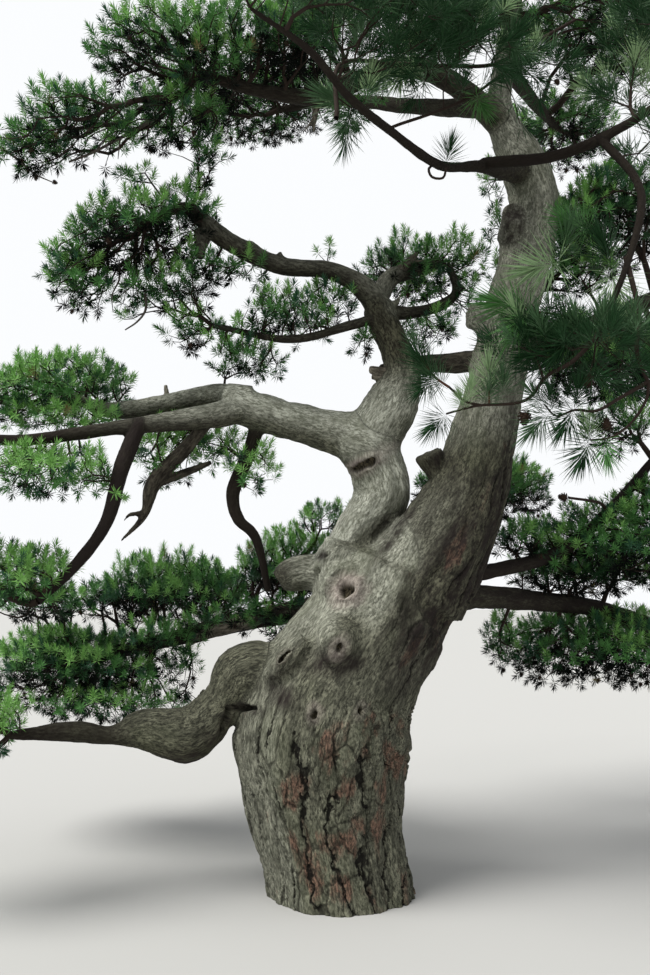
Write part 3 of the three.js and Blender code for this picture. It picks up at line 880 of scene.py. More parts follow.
def bark_material(name, bare_share, old_wood, new_wood):
    """Bark that turns to weathered wood where the piece is bare."""
    made, shader = material(name, roughness=0.9, specular=0.2)
    tree = made.node_tree
    pattern = put(tree, "ShaderNodeGroup", node_tree=BARK_PATTERN)
    grain = attribute(tree, "grain").outputs["Vector"]
    tree.links.new(grain, pattern.inputs["Grain"])
    for mask in BARK_MASKS:
        tree.links.new(attribute(tree, mask.lower()).outputs["Fac"], pattern.inputs[mask])
    fibre = clouds(tree, grain, (48, 48, 14), 5.0, 0.75)
    split = clouds(tree, grain, (22, 22, 3), 4.0, 0.65)
    weathered = mixed(tree, ramp(tree, fibre, 0.36, 0.66), old_wood, new_wood)
    weathered = mixed(tree, ramp(tree, split, 0.36, 0.46, 0.6, 0.0), weathered, SPLIT)
    bareness = ramp(tree, attribute(tree, "bare").outputs["Fac"], 0.3, 0.7, 0.0, bare_share)
    surface = mixed(tree, bareness, pattern.outputs["Color"], weathered)
    tree.links.new(surface, shader.inputs["Base Color"])
    height = plus(tree, pattern.outputs["Height"], times(tree, split, 0.3))
    bump = put(tree, "ShaderNodeBump", {"Strength": 0.85, "Distance": 0.010, "Height": height})
    tree.links.new(bump.outputs["Normal"], shader.inputs["Normal"])
    return made


def plain(name, shade, roughness, specular):
    made, shader = material(name, roughness, specular)
    shader.inputs["Base Color"].default_value = shade
    return made


BARK = bark_material("bark", 0.75, colour(70, 65, 56), colour(146, 139, 124))
DEAD_WOOD = bark_material("dead_wood", 0.85, colour(32, 28, 24), colour(88, 83, 72))
# Greens of the needles. Lit, green, deep and shade are steps of painted light and shade, dealt out by where a
# tuft lies; blue and old are tones of their own, and long and long dim are the long near needles, lit and in
# painted shade
NEEDLES = [
    plain("needles_lit", colour(130, 180, 98), 0.55, 0.25),
    plain("needles_green", colour(84, 136, 72), 0.55, 0.25),
    plain("needles_deep", colour(35, 69, 38), 0.55, 0.2),
    plain("needles_blue", colour(50, 92, 64), 0.55, 0.25),
    plain("needles_shade", colour(10, 17, 12), 0.6, 0.1),
    plain("needles_old", colour(124, 116, 74), 0.6, 0.2),
    plain("needles_long", colour(150, 180, 132), 0.5, 0.3),
    plain("needles_long_dim", colour(70, 104, 68), 0.5, 0.3),
]
# The places of the looks in that list, and which of them take the place of the first six near the viewer
LIT, GREEN, DEEP, BLUE, SHADE, OLD, LONG, LONG_DIM = range(len(NEEDLES))
NEAR_SHADES = np.array([LONG, LONG_DIM, DEEP, LONG_DIM, DEEP, LONG_DIM])
TWIG = plain("twig_bark", colour(48, 39, 34), 0.85, 0.15)
DEAD_TWIG = plain("dead_twig_bark", colour(84, 78, 72), 0.85, 0.15)
NEW_TWIG = plain("new_twig_bark", colour(92, 60, 48), 0.7, 0.2)
CONE = plain("cone_scales", colour(58, 44, 35), 0.75, 0.2)

for name, piece in zip(OWNERS, limb_pieces):
    dead = name in DEAD_LIMBS
    piece.data.materials.append(DEAD_WOOD if dead else BARK)
    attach(piece, ROOT)
    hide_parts(name)

# Twigs and needles. The masses of a group are filled together, with shoots that grow on from the limbs.
# Shoots stand on a grid with some jitter, inside the solid by the edge depth, and lower by the tuft's drop
SPACING = 0.068
NEAR_SPACING = 0.092
JITTER = 0.48
EDGE_DEPTH = 0.012
TUFT_DROP = 0.035
# The share of shoots that are kept at the foot of a mass, and what height and drifts add to it
SHARE_AT_FOOT = 0.45
SHARE_BY_LEVEL = 1.1
SHARE_BY_DRIFT = 1.1
DRIFT_SCALE = 4.6
# Near needles count as lying this much deeper, and keep this far back from the front of the solids' box
NEAR_COVER = 0.1
NEAR_MARGIN = 0.13
# How much farther than the nearest wood a root may be, and how much twigs avoid a long way round
ROOT_REACH = 0.1
DETOUR_COST = 0.36
RNG = np.random.default_rng(20260)
GROUPS = {
    "top_left": ["top_left_mass", "top_left_outer_mass"],
    "upper_left": ["upper_left_mass", "upper_left_low_mass", "mid_left_mass", "mid_left_low_mass",
                   "centre_mass"],
    "left": ["left_mass", "left_low_mass", "left_outer_mass", "hanging_inner_mass", "hanging_left_mass",
             "low_left_mass"],
    "rear_left": ["rear_left_mass", "rear_left_inner_mass", "rear_left_low_mass"],
    "rear_high_left": ["rear_high_left_mass"],
    "low_right": ["right_low_mass", "right_mid_mass", "rear_low_mass"],
    "right": ["right_mass", "right_upper_mass", "right_outer_mass", "rear_right_mass"],
    "near": ["near_top_mass", "near_right_mass", "near_hanging_mass"],
    "crown": ["crown_top_mass", "crown_left_mass"],
    "crown_right": ["crown_right_mass", "crown_front_mass", "rear_high_right_mass"],
}
NEAR_GROUP = "near"
# How far the needles of a mass lie off their solid, in metres
MASS_SHIFTS = {
    "top_left_outer_mass": (0.03, 0, -0.14),
    "upper_left_mass": (0, 0, -0.1),
    "mid_left_mass": (0, 0, -0.07),
    "centre_mass": (-0.02, 0, -0.07),
    "left_mass": (-0.03, 0, -0.05),
    "right_mid_mass": (0.07, 0, -0.12),
    "rear_left_mass": (0, 0, 0.06),
    "near_right_mass": (0.2, 0, 0.2),
    "near_hanging_mass": (0.07, 0, 0),
}
# How much more or less painted light the needles of a group get than the rest
GROUP_LIGHT = {
    "left": 0.3,
    "low_right": -0.08,
    "rear_left": -0.05,
    "crown": -0.05,
    "right": 0.04,
    "upper_left": 0.04,
}
# Small pads of needles beside the masses of a group, in millimetres: the middle, and half the size each way
PADS = {
    "top_left": [
        ((-980, -500, 4420), (290, 300, 150)),
        ((-770, -450, 4230), (100, 120, 100)),
        ((-1760, -600, 4210), (190, 220, 110)),
        ((60, -300, 4590), (120, 180, 110)),
        ((190, -250, 4740), (110, 150, 70)),
        ((-788, -450, 4324), (100, 120, 90)),
        ((-790, -400, 4200), (70, 100, 130)),
        ((-690, -800, 4600), (260, 130, 150)),
        ((-270, -760, 4790), (250, 130, 150)),
    ],
    "upper_left": [
        ((-1520, -300, 3530), (180, 250, 160)),
        ((-1280, -200, 3330), (70, 80, 60)),
        ((-890, -50, 3320), (170, 220, 120)),
        ((-700, 100, 3160), (110, 150, 120)),
        ((-70, 50, 3520), (190, 200, 140)),
        ((160, 140, 3290), (90, 120, 110)),
        ((530, 330, 3710), (200, 200, 90)),
        ((580, 300, 3430), (220, 200, 100)),
        ((860, 350, 3630), (90, 140, 180)),
        ((-190, -50, 3790), (50, 60, 70)),
        ((-90, 0, 3830), (60, 70, 90)),
        ((-580, -100, 3680), (170, 150, 80)),
        ((-1203, -300, 4170), (110, 150, 80)),
        ((-860, -350, 4090), (70, 90, 90)),
    ],
    "left": [
        ((-1710, 0, 2780), (400, 250, 70)),
        ((-1084, 120, 2573), (190, 220, 190)),
        ((-960, 160, 2700), (200, 200, 110)),
        ((-800, 180, 2660), (190, 190, 150)),
        ((-1440, -300, 2350), (200, 150, 60)),
    ],
    "rear_left": [
        ((-90, 950, 2230), (200, 250, 120)),
        ((-1920, 900, 1640), (410, 280, 110)),
        ((-1560, 900, 970), (580, 280, 100)),
        ((-1040, 900, 1249), (100, 160, 150)),
        ((-420, 560, 1500), (260, 140, 100)),
        ((-1200, 780, 1420), (330, 200, 110)),
        ((-610, 520, 1590), (170, 130, 100)),
        ((-330, 430, 1635), (150, 110, 90)),
        ((-880, 640, 1530), (170, 130, 90)),
    ],
    "right": [
        ((1000, 200, 4350), (80, 120, 120)),
        ((1000, 200, 4050), (60, 120, 130)),
        ((1010, 200, 3770), (60, 120, 100)),
        ((1550, 300, 3790), (230, 280, 140)),
        ((1800, 300, 2790), (210, 250, 170)),
    ],
    "near": [
        ((1009, -1100, 4363), (140, 150, 90)),
        ((1440, -1100, 4240), (180, 150, 120)),
        ((1508, -1100, 4015), (150, 150, 120)),
        ((35, -1150, 4175), (90, 120, 110)),
        ((564, -1000, 4560), (120, 140, 100)),
        ((378, -1000, 4400), (130, 140, 90)),
    ],
    "low_right": [
        ((1160, 400, 2060), (190, 280, 140)),
        ((1610, 600, 1840), (500, 330, 140)),
        ((1080, 700, 1410), (110, 200, 170)),
    ],
}
# The share of shoots that are kept in a pad
PAD_SHARE = 0.95


def solid_tree(node):
    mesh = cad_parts[node].data
    return BVHTree.FromPolygons([v.co for v in mesh.vertices], [tuple(f.vertices) for f in mesh.polygons])


def depth_in(solid, place):
    """How deep a place lies inside a solid, below zero outside it."""
    spot, facing, _, distance = solid.find_nearest(Vector(place))
    return distance if (Vector(place) - spot).dot(facing) < 0 else -distance


def jittered(low, high, spacing):
    """A grid of places between two corners, each moved a little at random."""
    steps = [np.arange(a + spacing / 2, b, spacing) for a, b in zip(low, high)]
    cells = np.stack(np.meshgrid(*steps, indexing="ij"), -1).reshape(-1, 3)
    return cells + RNG.uniform(-JITTER, JITTER, cells.shape) * spacing


def tips_in(node, solid, spacing):
    """Places for shoots all through a mass, sparser low down and in drifts, where the sky shows through."""
    low, high = (np.array(corner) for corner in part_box(node))
    cells = jittered(low, high, spacing)
    chance = RNG.random(len(cells))
    found = []
    for place, luck in zip(cells, chance):
        if depth_in(solid, place) < EDGE_DEPTH:
            continue
        above = solid.ray_cast(Vector(place), Vector((0, 0, 1)))[3] or 0
        below = solid.ray_cast(Vector(place), Vector((0, 0, -1)))[3] or 0
        level = below / max(above + below, 0.001)
        drift = noise.noise(Vector(place) * DRIFT_SCALE)
        if luck > SHARE_AT_FOOT + SHARE_BY_LEVEL * level + SHARE_BY_DRIFT * drift:
            continue
        outward = (place - (low + high) / 2) / (high - low)
        found.append([*place - (0, 0, TUFT_DROP), level, above, *outward])
    return np.array(found)


def pad_tips(middle, half, spacing):
    """Places for shoots all through a small round pad, told like those of a mass."""
    cells = jittered(-half, half, spacing)
    cells = cells[(((cells / half)**2).sum(1) < 1) & (RNG.random(len(cells)) < PAD_SHARE)]
    top = half[2] * np.sqrt(1 - ((cells[:, :2] / half[:2])**2).sum(1))
    level = 0.5 + 0.5 * cells[:, 2] / top
    return np.column_stack([cells + middle, level, top - cells[:, 2], cells / half])


def grow(tips, roots):
    """Joins tips to the nearest wood, short ways first. Gives each tip's parent, or -1 - k for root k."""
    reach = np.linalg.norm(tips[:, None] - roots[None], axis=2)
    parents = -1 - reach.argmin(1)
    waiting = reach.min(1)
    length = np.zeros(len(tips))
    order = []
    for _ in range(len(tips)):
        choice = int(waiting.argmin())
        order.append(choice)
        waiting[choice] = np.inf
        source = roots[-1 - parents[choice]] if parents[choice] < 0 else tips[parents[choice]]
        before = 0 if parents[choice] < 0 else length[parents[choice]]
        length[choice] = before + np.linalg.norm(tips[choice] - source)
        offers = np.sqrt(((tips - tips[choice])**2).sum(1)) + DETOUR_COST * length[choice]
        better = (offers < waiting) & (waiting < np.inf)
        waiting[better] = offers[better]
        parents[better] = choice
    return parents, np.array(order)


def unit(rows):
    rows = np.array(rows, float)
    return rows / np.maximum(np.linalg.norm(rows, axis=1), 1e-9)[:, None]


def prisms(starts, ends, start_girth, end_girth, sides):
    """A tapered stick between each pair of places."""
    ways = unit(ends - starts)
    guide = np.where(np.abs(ways[:, 2:]) > 0.9, (1.0, 0.0, 0.0), (0.0, 0.0, 1.0))
    across = unit(np.cross(ways, guide))
    other = np.cross(ways, across)
    turns = np.arange(sides) * 2 * math.pi / sides
    ring = np.cos(turns)[None, :, None] * across[:, None] + np.sin(turns)[None, :, None] * other[:, None]
    low = starts[:, None] + ring * start_girth[:, None, None]
    high = ends[:, None] + ring * end_girth[:, None, None]
    places = np.concatenate([low, high], axis=1).reshape(-1, 3)
    faces = []
    for k in range(sides):
        m = (k + 1) % sides
        faces += [(k, sides + m, m), (k, sides + k, sides + m)]
    faces = (np.arange(len(starts)) * 2 * sides)[:, None, None] + np.array(faces)[None]
    return places, faces.reshape(-1, 3)


# Needles stand round their shoot by the golden angle, with some scatter in turn, lean and length. They spread
# a little outwards, and are widest and folded by a share of their width at a share of their length
GOLDEN_TURN = math.pi * (3 - math.sqrt(5))
TURN_SCATTER = 0.35
LEAN_SCATTER = 9
NEEDLE_LENGTHS = 0.8, 1.1
SPREAD = 0.04
WIDEST_AT = 0.45
FOLD = 0.35


def tuft_shape(length, width, count, shoot, leans):
    """One tuft of needles on a shoot that points along +Z: kites folded along their middle."""
    places = []
    for k in range(count):
        share = (k + 0.5) / count
        start = np.array((0, 0, shoot * share))
        turn = k * GOLDEN_TURN + RNG.uniform(-TURN_SCATTER, TURN_SCATTER)
        lean = leans[0] + (leans[1] - leans[0]) * share + RNG.uniform(-LEAN_SCATTER, LEAN_SCATTER)
        lean = math.radians(lean)
        out = np.array((math.cos(turn), math.sin(turn), 0))
        way = out * math.sin(lean) + np.array((0, 0, math.cos(lean)))
        reach = length * RNG.uniform(*NEEDLE_LENGTHS)
        across = np.cross(way, (0, 0, 1.0))
        across /= np.linalg.norm(across)
        fold = np.cross(across, way) * width * FOLD
        tip = start + way * reach + out * SPREAD * reach
        middle = start + way * reach * WIDEST_AT + fold
        places += [start, middle + across * width / 2, tip, middle - across * width / 2]
    faces = []
    for k in range(count):
        faces += [(4 * k, 4 * k + 1, 4 * k + 2), (4 * k, 4 * k + 2, 4 * k + 3)]
    return np.array(places), np.array(faces)


# Tufts of the masses, of the near twigs and of the single sprays, in metres, with leans in degrees
TUFTS = [tuft_shape(length=0.047, width=0.0056, count=27, shoot=0.034, leans=(98, 8)) for _ in range(8)]
NEAR_TUFTS = [tuft_shape(length=0.125, width=0.0048, count=42, shoot=0.08, leans=(70, 6)) for _ in range(6)]
SPRAY_TUFTS = [tuft_shape(length=0.150, width=0.0044, count=90, shoot=0.10, leans=(78, 6)) for _ in range(3)]
TUFT_PITCH = 0.038


def tufts(origins, ways, sizes, shades, patterns):
    """All the needles of some tufts, each turned and sized from one of the patterns."""
    kinds = RNG.integers(0, len(patterns), len(origins))
    spin = RNG.uniform(0, 2 * math.pi, len(origins))
    ways = unit(ways)
    guide = np.column_stack([np.cos(spin), np.sin(spin), np.zeros(len(spin))])
    guide[np.abs(ways[:, 2]) < 0.5] = (0, 0, 1)
    across = unit(np.cross(ways, guide))
    axes = np.stack([across, np.cross(ways, across), ways], axis=1)
    turned, faces, looks, first = [], [], [], 0
    for kind, (places, triangles) in enumerate(patterns):
        chosen = kinds == kind
        count = int(chosen.sum())
        some = np.einsum("pk,nkj->npj", places, axes[chosen] * sizes[chosen, None, None])
        turned.append((some + origins[chosen, None]).reshape(-1, 3))
        some = (first + np.arange(count) * len(places))[:, None, None] + triangles[None]
        faces.append(some.reshape(-1, 3))
        looks.append(np.repeat(shades[chosen], len(triangles)))
        first += count * len(places)
    return np.vstack(turned), np.vstack(faces), np.concatenate(looks)


# The painted light of a tuft by its height in the mass, the cover above, patches and luck. FULL_COVER is in
# metres
BY_LEVEL = 0.5
BY_COVER = 0.5
BY_PATCH = 0.3
BY_LUCK = 0.13
FULL_COVER = 0.32
PATCH_SCALE = 2.2
# How much light each green needs, and the shares of tufts that are bluish and old
GREEN_FROM = 0.46
LIT_FROM = 0.76
SHADE_UNDER = 0.30
BLUE_SHARE = 0.14
OLD_SHARE = 0.005


def shades_for(level, above, places, light):
    """Deals the greens out by tuft as painted light: lit on top, in painted shade below and deep inside."""
    luck = RNG.random(len(level))
    patch = np.array([noise.noise(Vector(place) * PATCH_SCALE) for place in places])
    bright = BY_LEVEL * level + BY_COVER * np.clip(1 - above / FULL_COVER, 0, 1) + BY_PATCH * patch
    bright += RNG.uniform(-BY_LUCK, BY_LUCK, len(level))
    bright += light
    shade = np.full(len(level), DEEP)
    shade[bright > GREEN_FROM] = GREEN
    shade[bright > LIT_FROM] = LIT
    shade[bright < SHADE_UNDER] = SHADE
    shade[(luck < BLUE_SHARE) & (bright > SHADE_UNDER)] = BLUE
    shade[luck > 1 - OLD_SHARE] = OLD
    return shade


def stack(parts):
    """Several arrays of places and triangles as one."""
    places, triangles, first = [], [], 0
    for part in parts:
        places.append(part[0])
        triangles.append(part[1] + first)
        first += len(part[0])
    return np.vstack(places), np.vstack(triangles)


# Two long twigs that carry the needles nearest the viewer, in millimetres: the route, first and last radius
NEAR_TWIGS = [
    ([(-40, -1420, 3965), (12, -1000, 4492), (300, -1000, 4481), (562, -1000, 4470), (798, -1000, 4481),
      (984, -1000, 4587), (1224, -1000, 4726)], 12, 9),
    ([(250, -1390, 3900), (275, -950, 4166), (460, -950, 4232), (662, -950, 4321), (860, -950, 4465),
      (1156, -950, 4673)], 9, 7),
]
TWIG_STEP = 0.02


def twig_path(route, first, last):
    return smooth_route(route, np.linspace(first, last, len(route)), TWIG_STEP)


NEAR_TWIG_PATHS = [twig_path(*twig) for twig in NEAR_TWIGS]
# Points of the centre lines that shoots may grow from: those of live limbs, but not of burls and stubs
LIVE = np.flatnonzero(~np.isin(line_shape, [k for k, shape in enumerate(shapes) if shape[1]]))
# Twigs get thicker with the number of tips they carry, and stout ones are rounder. They are thinner than the
# limb at its side, and no more than that flare wider at their foot than at their end. Radii in metres
TIP_GIRTH = 0.0021
GIRTH_POWER = 0.42
SHARE_OF_LIMB = 0.8
FLARE = 1.35
STOUT_GIRTH = 0.007
STOUT_SIDES = 6
SLIM_SIDES = 3
# Tufts point along their twig, out of the mass and up, more so higher up, with some scatter
ALONG, OUTWARD, SCATTER = 0.5, 0.6, 0.22
LIFT_AT_FOOT, LIFT_BY_LEVEL = 0.35, 1.5
TUFT_SIZES = 0.85, 1.18
# Every end has a tuft, and so have all forks above a level and some below it. Near the top some have two
LEAFY_LEVEL, LEAFY_SHARE = 0.3, 0.5
TOP_COVER, DOUBLE_SHARE = 0.1, 0.2
# Some low ends carry a cone
CONE_LEVEL, CONE_SHARE = 0.35, 0.07


def within_reach(gaps):
    return gaps < max(gaps.min(), 0) + ROOT_REACH


def shoots_in(nodes, pads, near):
    """Places for the shoots of some masses and pads, and which of the live points they may grow from."""
    spacing = NEAR_SPACING if near else SPACING
    found, rooted = [], np.zeros(len(LIVE), bool)
    for node in nodes:
        solid = solid_tree(node)
        tips = tips_in(node, solid, spacing)
        tips[:, :3] += MASS_SHIFTS.get(node, (0, 0, 0))
        tips[:, 4] += NEAR_COVER if near else 0
        found.append(tips)
        depths = np.array([depth_in(solid, line_points[k]) for k in LIVE])
        rooted |= within_reach(-depths - line_girth[LIVE])
    for middle, half in pads:
        middle, half = np.array(middle) * MM, np.array(half) * MM
        found.append(pad_tips(middle, half, spacing))
        beside = np.maximum(np.abs(line_points[LIVE] - middle) - half, 0)
        rooted |= within_reach(np.linalg.norm(beside, axis=1) - line_girth[LIVE])
    found = np.vstack(found)
    if near:
        found[:, 1] = np.maximum(found[:, 1], cad_box[0][1] + NEAR_MARGIN)
    return found, rooted


def branching(tips, roots, root_girth):
    """Sticks that join all tips to the wood: starts, ends, radii at both, and how many grow on from each."""
    parents, order = grow(tips, roots)
    load = np.ones(len(tips))
    children = np.zeros(len(tips), int)
    for tip in order[::-1]:
        if parents[tip] >= 0:
            load[parents[tip]] += load[tip]
            children[parents[tip]] += 1
    from_tip = parents >= 0

    def at_parent(of_tips, of_roots):
        choice = from_tip if of_tips.ndim == 1 else from_tip[:, None]
        return np.where(choice, of_tips[np.maximum(parents, 0)], of_roots[np.maximum(-1 - parents, 0)])

    heirs = np.zeros_like(tips)
    np.add.at(heirs, parents[from_tip], tips[from_tip])
    inner = children > 0
    origin = at_parent(tips, roots)
    smooth = tips.copy()
    smooth[inner] = 0.5 * tips[inner] + 0.25 * origin[inner] + 0.25 * heirs[inner] / children[inner, None]
    girth = TIP_GIRTH * load**GIRTH_POWER
    start_girth = np.minimum(at_parent(girth, root_girth * SHARE_OF_LIMB), girth * FLARE)
    return at_parent(smooth, roots), smooth, start_girth, girth, children


def fill_group(nodes, pads, near, light):
    """Twigs and tufts of some masses and pads, and the ends that carry cones, with the ways they point."""
    found, rooted = shoots_in(nodes, pads, near)
    tips, levels, above, outward = found[:, :3], found[:, 3], found[:, 4], unit(found[:, 5:])
    roots, root_girth = line_points[LIVE[rooted]], line_girth[LIVE[rooted]]
    if near:
        roots = np.vstack([roots] + [path for path, _ in NEAR_TWIG_PATHS])
        root_girth = np.concatenate([root_girth] + [girth for _, girth in NEAR_TWIG_PATHS])
    starts, ends, start_girth, girth, children = branching(tips, roots, root_girth)
    stout = girth > STOUT_GIRTH
    sticks = [prisms(starts[some], ends[some], start_girth[some], girth[some], sides)
              for some, sides in ((stout, STOUT_SIDES), (~stout, SLIM_SIDES))]
    ways = unit(ends - starts)
    lift = (LIFT_AT_FOOT + LIFT_BY_LEVEL * levels)[:, None] * (0, 0, 1)
    aim = unit(ALONG * ways + OUTWARD * outward + lift + RNG.normal(0, SCATTER, ways.shape))
    sizes = RNG.uniform(*TUFT_SIZES, len(tips))
    shade = shades_for(levels, above, ends, light)
    if near:
        shade = NEAR_SHADES[shade]
    leafy = (children == 0) | (levels > LEAFY_LEVEL) | (RNG.random(len(tips)) < LEAFY_SHARE)
    double = leafy & (above < TOP_COVER) & (RNG.random(len(tips)) < DOUBLE_SHARE)
    places = np.vstack([ends[leafy], ends[double] + aim[double] * TUFT_PITCH])
    pick = np.concatenate([np.flatnonzero(leafy), np.flatnonzero(double)])
    needles = tufts(places, aim[pick], sizes[pick], shade[pick], NEAR_TUFTS if near else TUFTS)
    with_cone = (children == 0) & (levels < CONE_LEVEL) & (RNG.random(len(tips)) < CONE_SHARE)
    return sticks, needles, np.column_stack([ends[with_cone], ways[with_cone]])


def deal_out(name, looks, arrays, shade=None):
    """A joined piece of many small things, with its materials, attached to the root."""
    piece = show(name, mesh_of(name, arrays[0], arrays[1]))
    for look in looks:
        piece.data.materials.append(look)
    if shade is not None:
        piece.data.polygons.foreach_set("material_index", shade.astype(np.int32))
    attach(piece, ROOT)
    return piece


cone_ends = []
for group, nodes in GROUPS.items():
    light = GROUP_LIGHT.get(group, 0)
    sticks, needles, ends = fill_group(nodes, PADS.get(group, []), group == NEAR_GROUP, light)
    cone_ends.append(ends)
    twig_piece = deal_out("twigs_" + group, [TWIG], stack(sticks))
    shade_smooth(twig_piece.data)
    needle_piece = deal_out("needles_" + group, NEEDLES, needles[:2], needles[2])
    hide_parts(*nodes)

# Single twigs against the sky or the stem, in millimetres: the look, the route, first and last radius
NEW_WOOD, OLD_WOOD, DEAD = "new", "old", "dead"
TWIG_SIDES = 7
SINGLE_TWIGS = [
    (OLD_WOOD, [(1350, -1298, 3330), (1403, -1300, 3043), (1387, -1300, 2863), (1438, -1300, 2708)], 14, 9),
    (OLD_WOOD, [(1206, -1280, 2945), (1091, -1250, 2827), (981, -1200, 2770), (888, -1150, 2662),
                (651, -1100, 2642), (510, -1050, 2612)], 13, 5),
    (OLD_WOOD, [(962, -1200, 2760), (939, -1200, 2839), (907, -1200, 2898)], 7, 4),
    (OLD_WOOD, [(1435, -1300, 2720), (1305, -1280, 2645), (1198, -1250, 2589), (1112, -1200, 2603),
                (1032, -1150, 2583), (975, -1150, 2642)], 10, 4),
    (OLD_WOOD, [(1438, -1300, 2710), (1425, -1300, 2640), (1358, -1280, 2530), (1270, -1250, 2463),
                (1180, -1200, 2457)], 9, 4),
    (OLD_WOOD, [(1740, 460, 2230), (1626, 200, 2281), (1405, 100, 2305)], 12, 8),
    (OLD_WOOD, [(680, -1105, 2644), (600, -1100, 2665), (515, -1100, 2742)], 7, 6),
    (NEW_WOOD, [(520, -1100, 2736), (451, -1100, 2788), (368, -1100, 2904)], 7, 5),
    (NEW_WOOD, [(716, -1105, 2640), (717, -1100, 2742)], 5, 4),
    (OLD_WOOD, [(1206, -1275, 2960), (1240, -1230, 2960), (1200, -1190, 2965)], 9, 7),
    (NEW_WOOD, [(1205, -1195, 2962), (1146, -1150, 2997)], 7, 5),
    (OLD_WOOD, [(1206, -1278, 2950), (1120, -1180, 3060), (978, -1100, 3117)], 8, 5),
    (NEW_WOOD, [(984, -1103, 3114), (899, -1100, 3143)], 5, 4),
    (OLD_WOOD, [(480, -1105, 3890), (430, -1130, 3850), (445, -1140, 3800), (500, -1130, 3800),
                (520, -1110, 3860)], 7, 6),
    (DEAD, [(-1060, -520, 4440), (-1199, -500, 4361), (-1277, -500, 4320), (-1423, -500, 4237),
            (-1560, -500, 4180)], 13, 6),
    (DEAD, [(-1270, -500, 4324), (-1279, -500, 4197)], 6, 2),
    (DEAD, [(-1200, -500, 4360), (-1310, -480, 4370), (-1390, -470, 4300), (-1430, -470, 4225)], 7, 2),
    (DEAD, [(-1990, -480, 4290), (-1867, -500, 4206), (-1796, -500, 4144), (-1746, -500, 4103),
            (-1653, -500, 4060)], 9, 3),
    (DEAD, [(-1303, -300, 3640), (-1301, -300, 3550), (-1340, -300, 3459), (-1332, -300, 3357)], 8, 2),
    (DEAD, [(-1166, -200, 3520), (-1164, -200, 3393), (-1211, -200, 3326), (-1281, -200, 3277)], 9, 4),
]
# Sprays of long needles on the near twigs, in millimetres: the place, the way it points, and its size
SPRAYS = [
    ((500, -1100, 2752), (-0.7, -0.25, 0.35), 0.9),
    ((455, -1100, 2785), (-0.6, -0.3, 0.6), 1.1),
    ((440, -1120, 2775), (-0.5, -0.4, -0.5), 0.95),
    ((385, -1100, 2880), (-0.35, -0.2, 0.9), 0.8),
    ((717, -1100, 2735), (-0.05, -0.3, 1.0), 0.95),
    ((620, -1100, 2672), (0.0, -0.4, 0.9), 0.7),
    ((700, -1100, 2650), (0.2, -0.4, 0.9), 0.8),
    ((786, -1110, 2687), (-0.1, -0.4, 0.9), 0.9),
    ((510, -1050, 2612), (-0.6, -0.2, -0.6), 0.95),
    ((600, -1080, 2632), (-0.3, -0.3, 0.6), 0.6),
    ((1160, -1155, 2990), (-0.9, -0.3, 0.1), 1.3),
    ((1150, -1150, 2997), (-0.6, -0.4, -0.6), 1.4),
    ((910, -1100, 3140), (-0.95, -0.2, 0.1), 1.4),
    ((930, -1110, 3150), (-0.5, -0.3, -0.8), 1.5),
    ((960, -1100, 3125), (0.4, -0.4, -0.6), 1.2),
    ((1072, -1150, 3357), (-0.8, -0.3, -0.3), 1.5),
    ((1080, -1150, 3370), (0.1, -0.4, 0.8), 1.2),
    ((1329, -1150, 3326), (-0.4, -0.4, 0.7), 1.3),
    ((1320, -1150, 3310), (0.1, -0.3, -0.9), 1.3),
    ((1226, -1150, 3521), (-0.8, -0.3, 0.2), 1.2),
    ((907, -1200, 2898), (-0.4, -0.3, 0.7), 0.9),
    ((35, -1130, 4170), (-0.7, -0.3, 0.2), 1.2),
    ((60, -1130, 4160), (-0.4, -0.3, -0.8), 1.1),
    ((520, -1110, 3880), (0.2, -0.3, 0.9), 0.8),
    ((564, -1000, 4500), (-0.1, -0.4, 0.9), 1.3),
    ((320, -1000, 4470), (-0.2, -0.4, -0.8), 1.1),
    ((700, -950, 4340), (0.3, -0.4, -0.8), 1.0),
    ((986, -1150, 2911), (-0.7, -0.3, -0.3), 1.1),
    ((1125, -1160, 2622), (-0.5, -0.4, -0.7), 1.2),
    ((1125, -1160, 2622), (0.1, -0.4, 0.9), 1.0),
    ((1010, -1160, 2602), (-0.2, -0.3, 0.9), 0.8),
    ((975, -1150, 2642), (-0.6, -0.3, 0.5), 0.8),
    ((1000, -1150, 2600), (-0.7, -0.2, -0.7), 1.1),
    ((1185, -1200, 2457), (-0.5, -0.3, -0.8), 1.1),
    ((1194, -1160, 2465), (-0.3, -0.3, 0.8), 0.8),
    ((1240, -1235, 2462), (0.0, -0.3, -0.9), 0.9),
]
# Single cones, in millimetres: the place, the way it points, and its length in metres
CONES = [
    ((1169, -1205, 2715), (0.1, -0.2, 0.4), 0.066),
    ((877, -1160, 2600), (-0.1, -0.3, -0.9), 0.070),
    ((1263, -1215, 2500), (-0.2, -0.3, 0.8), 0.064),
    ((1395, 100, 2305), (-1.0, -0.3, 0.1), 0.060),
    ((-1746, -500, 4098), (0.0, 0.0, -1.0), 0.030),
    ((-1650, -500, 4062), (0.9, 0.0, -0.3), 0.030),
    ((-1790, -500, 4135), (-0.2, 0.0, -1.0), 0.026),
]


def stick_along(path, girth):
    return prisms(path[:-1], path[1:], girth[:-1], girth[1:], TWIG_SIDES)


def twig_bundle(look):
    """All the single twigs of one look."""
    paths = [twig_path(*twig) for kind, *twig in SINGLE_TWIGS if kind == look]
    if look == OLD_WOOD:
        paths += NEAR_TWIG_PATHS
    return stack([stick_along(path, girth) for path, girth in paths])


def cone_core_girth(share):
    """The radius of a cone's core, a share of the way up."""
    return 0.34 * math.sin(math.pi * min(1, 0.1 + 0.9 * share) ** 0.75)


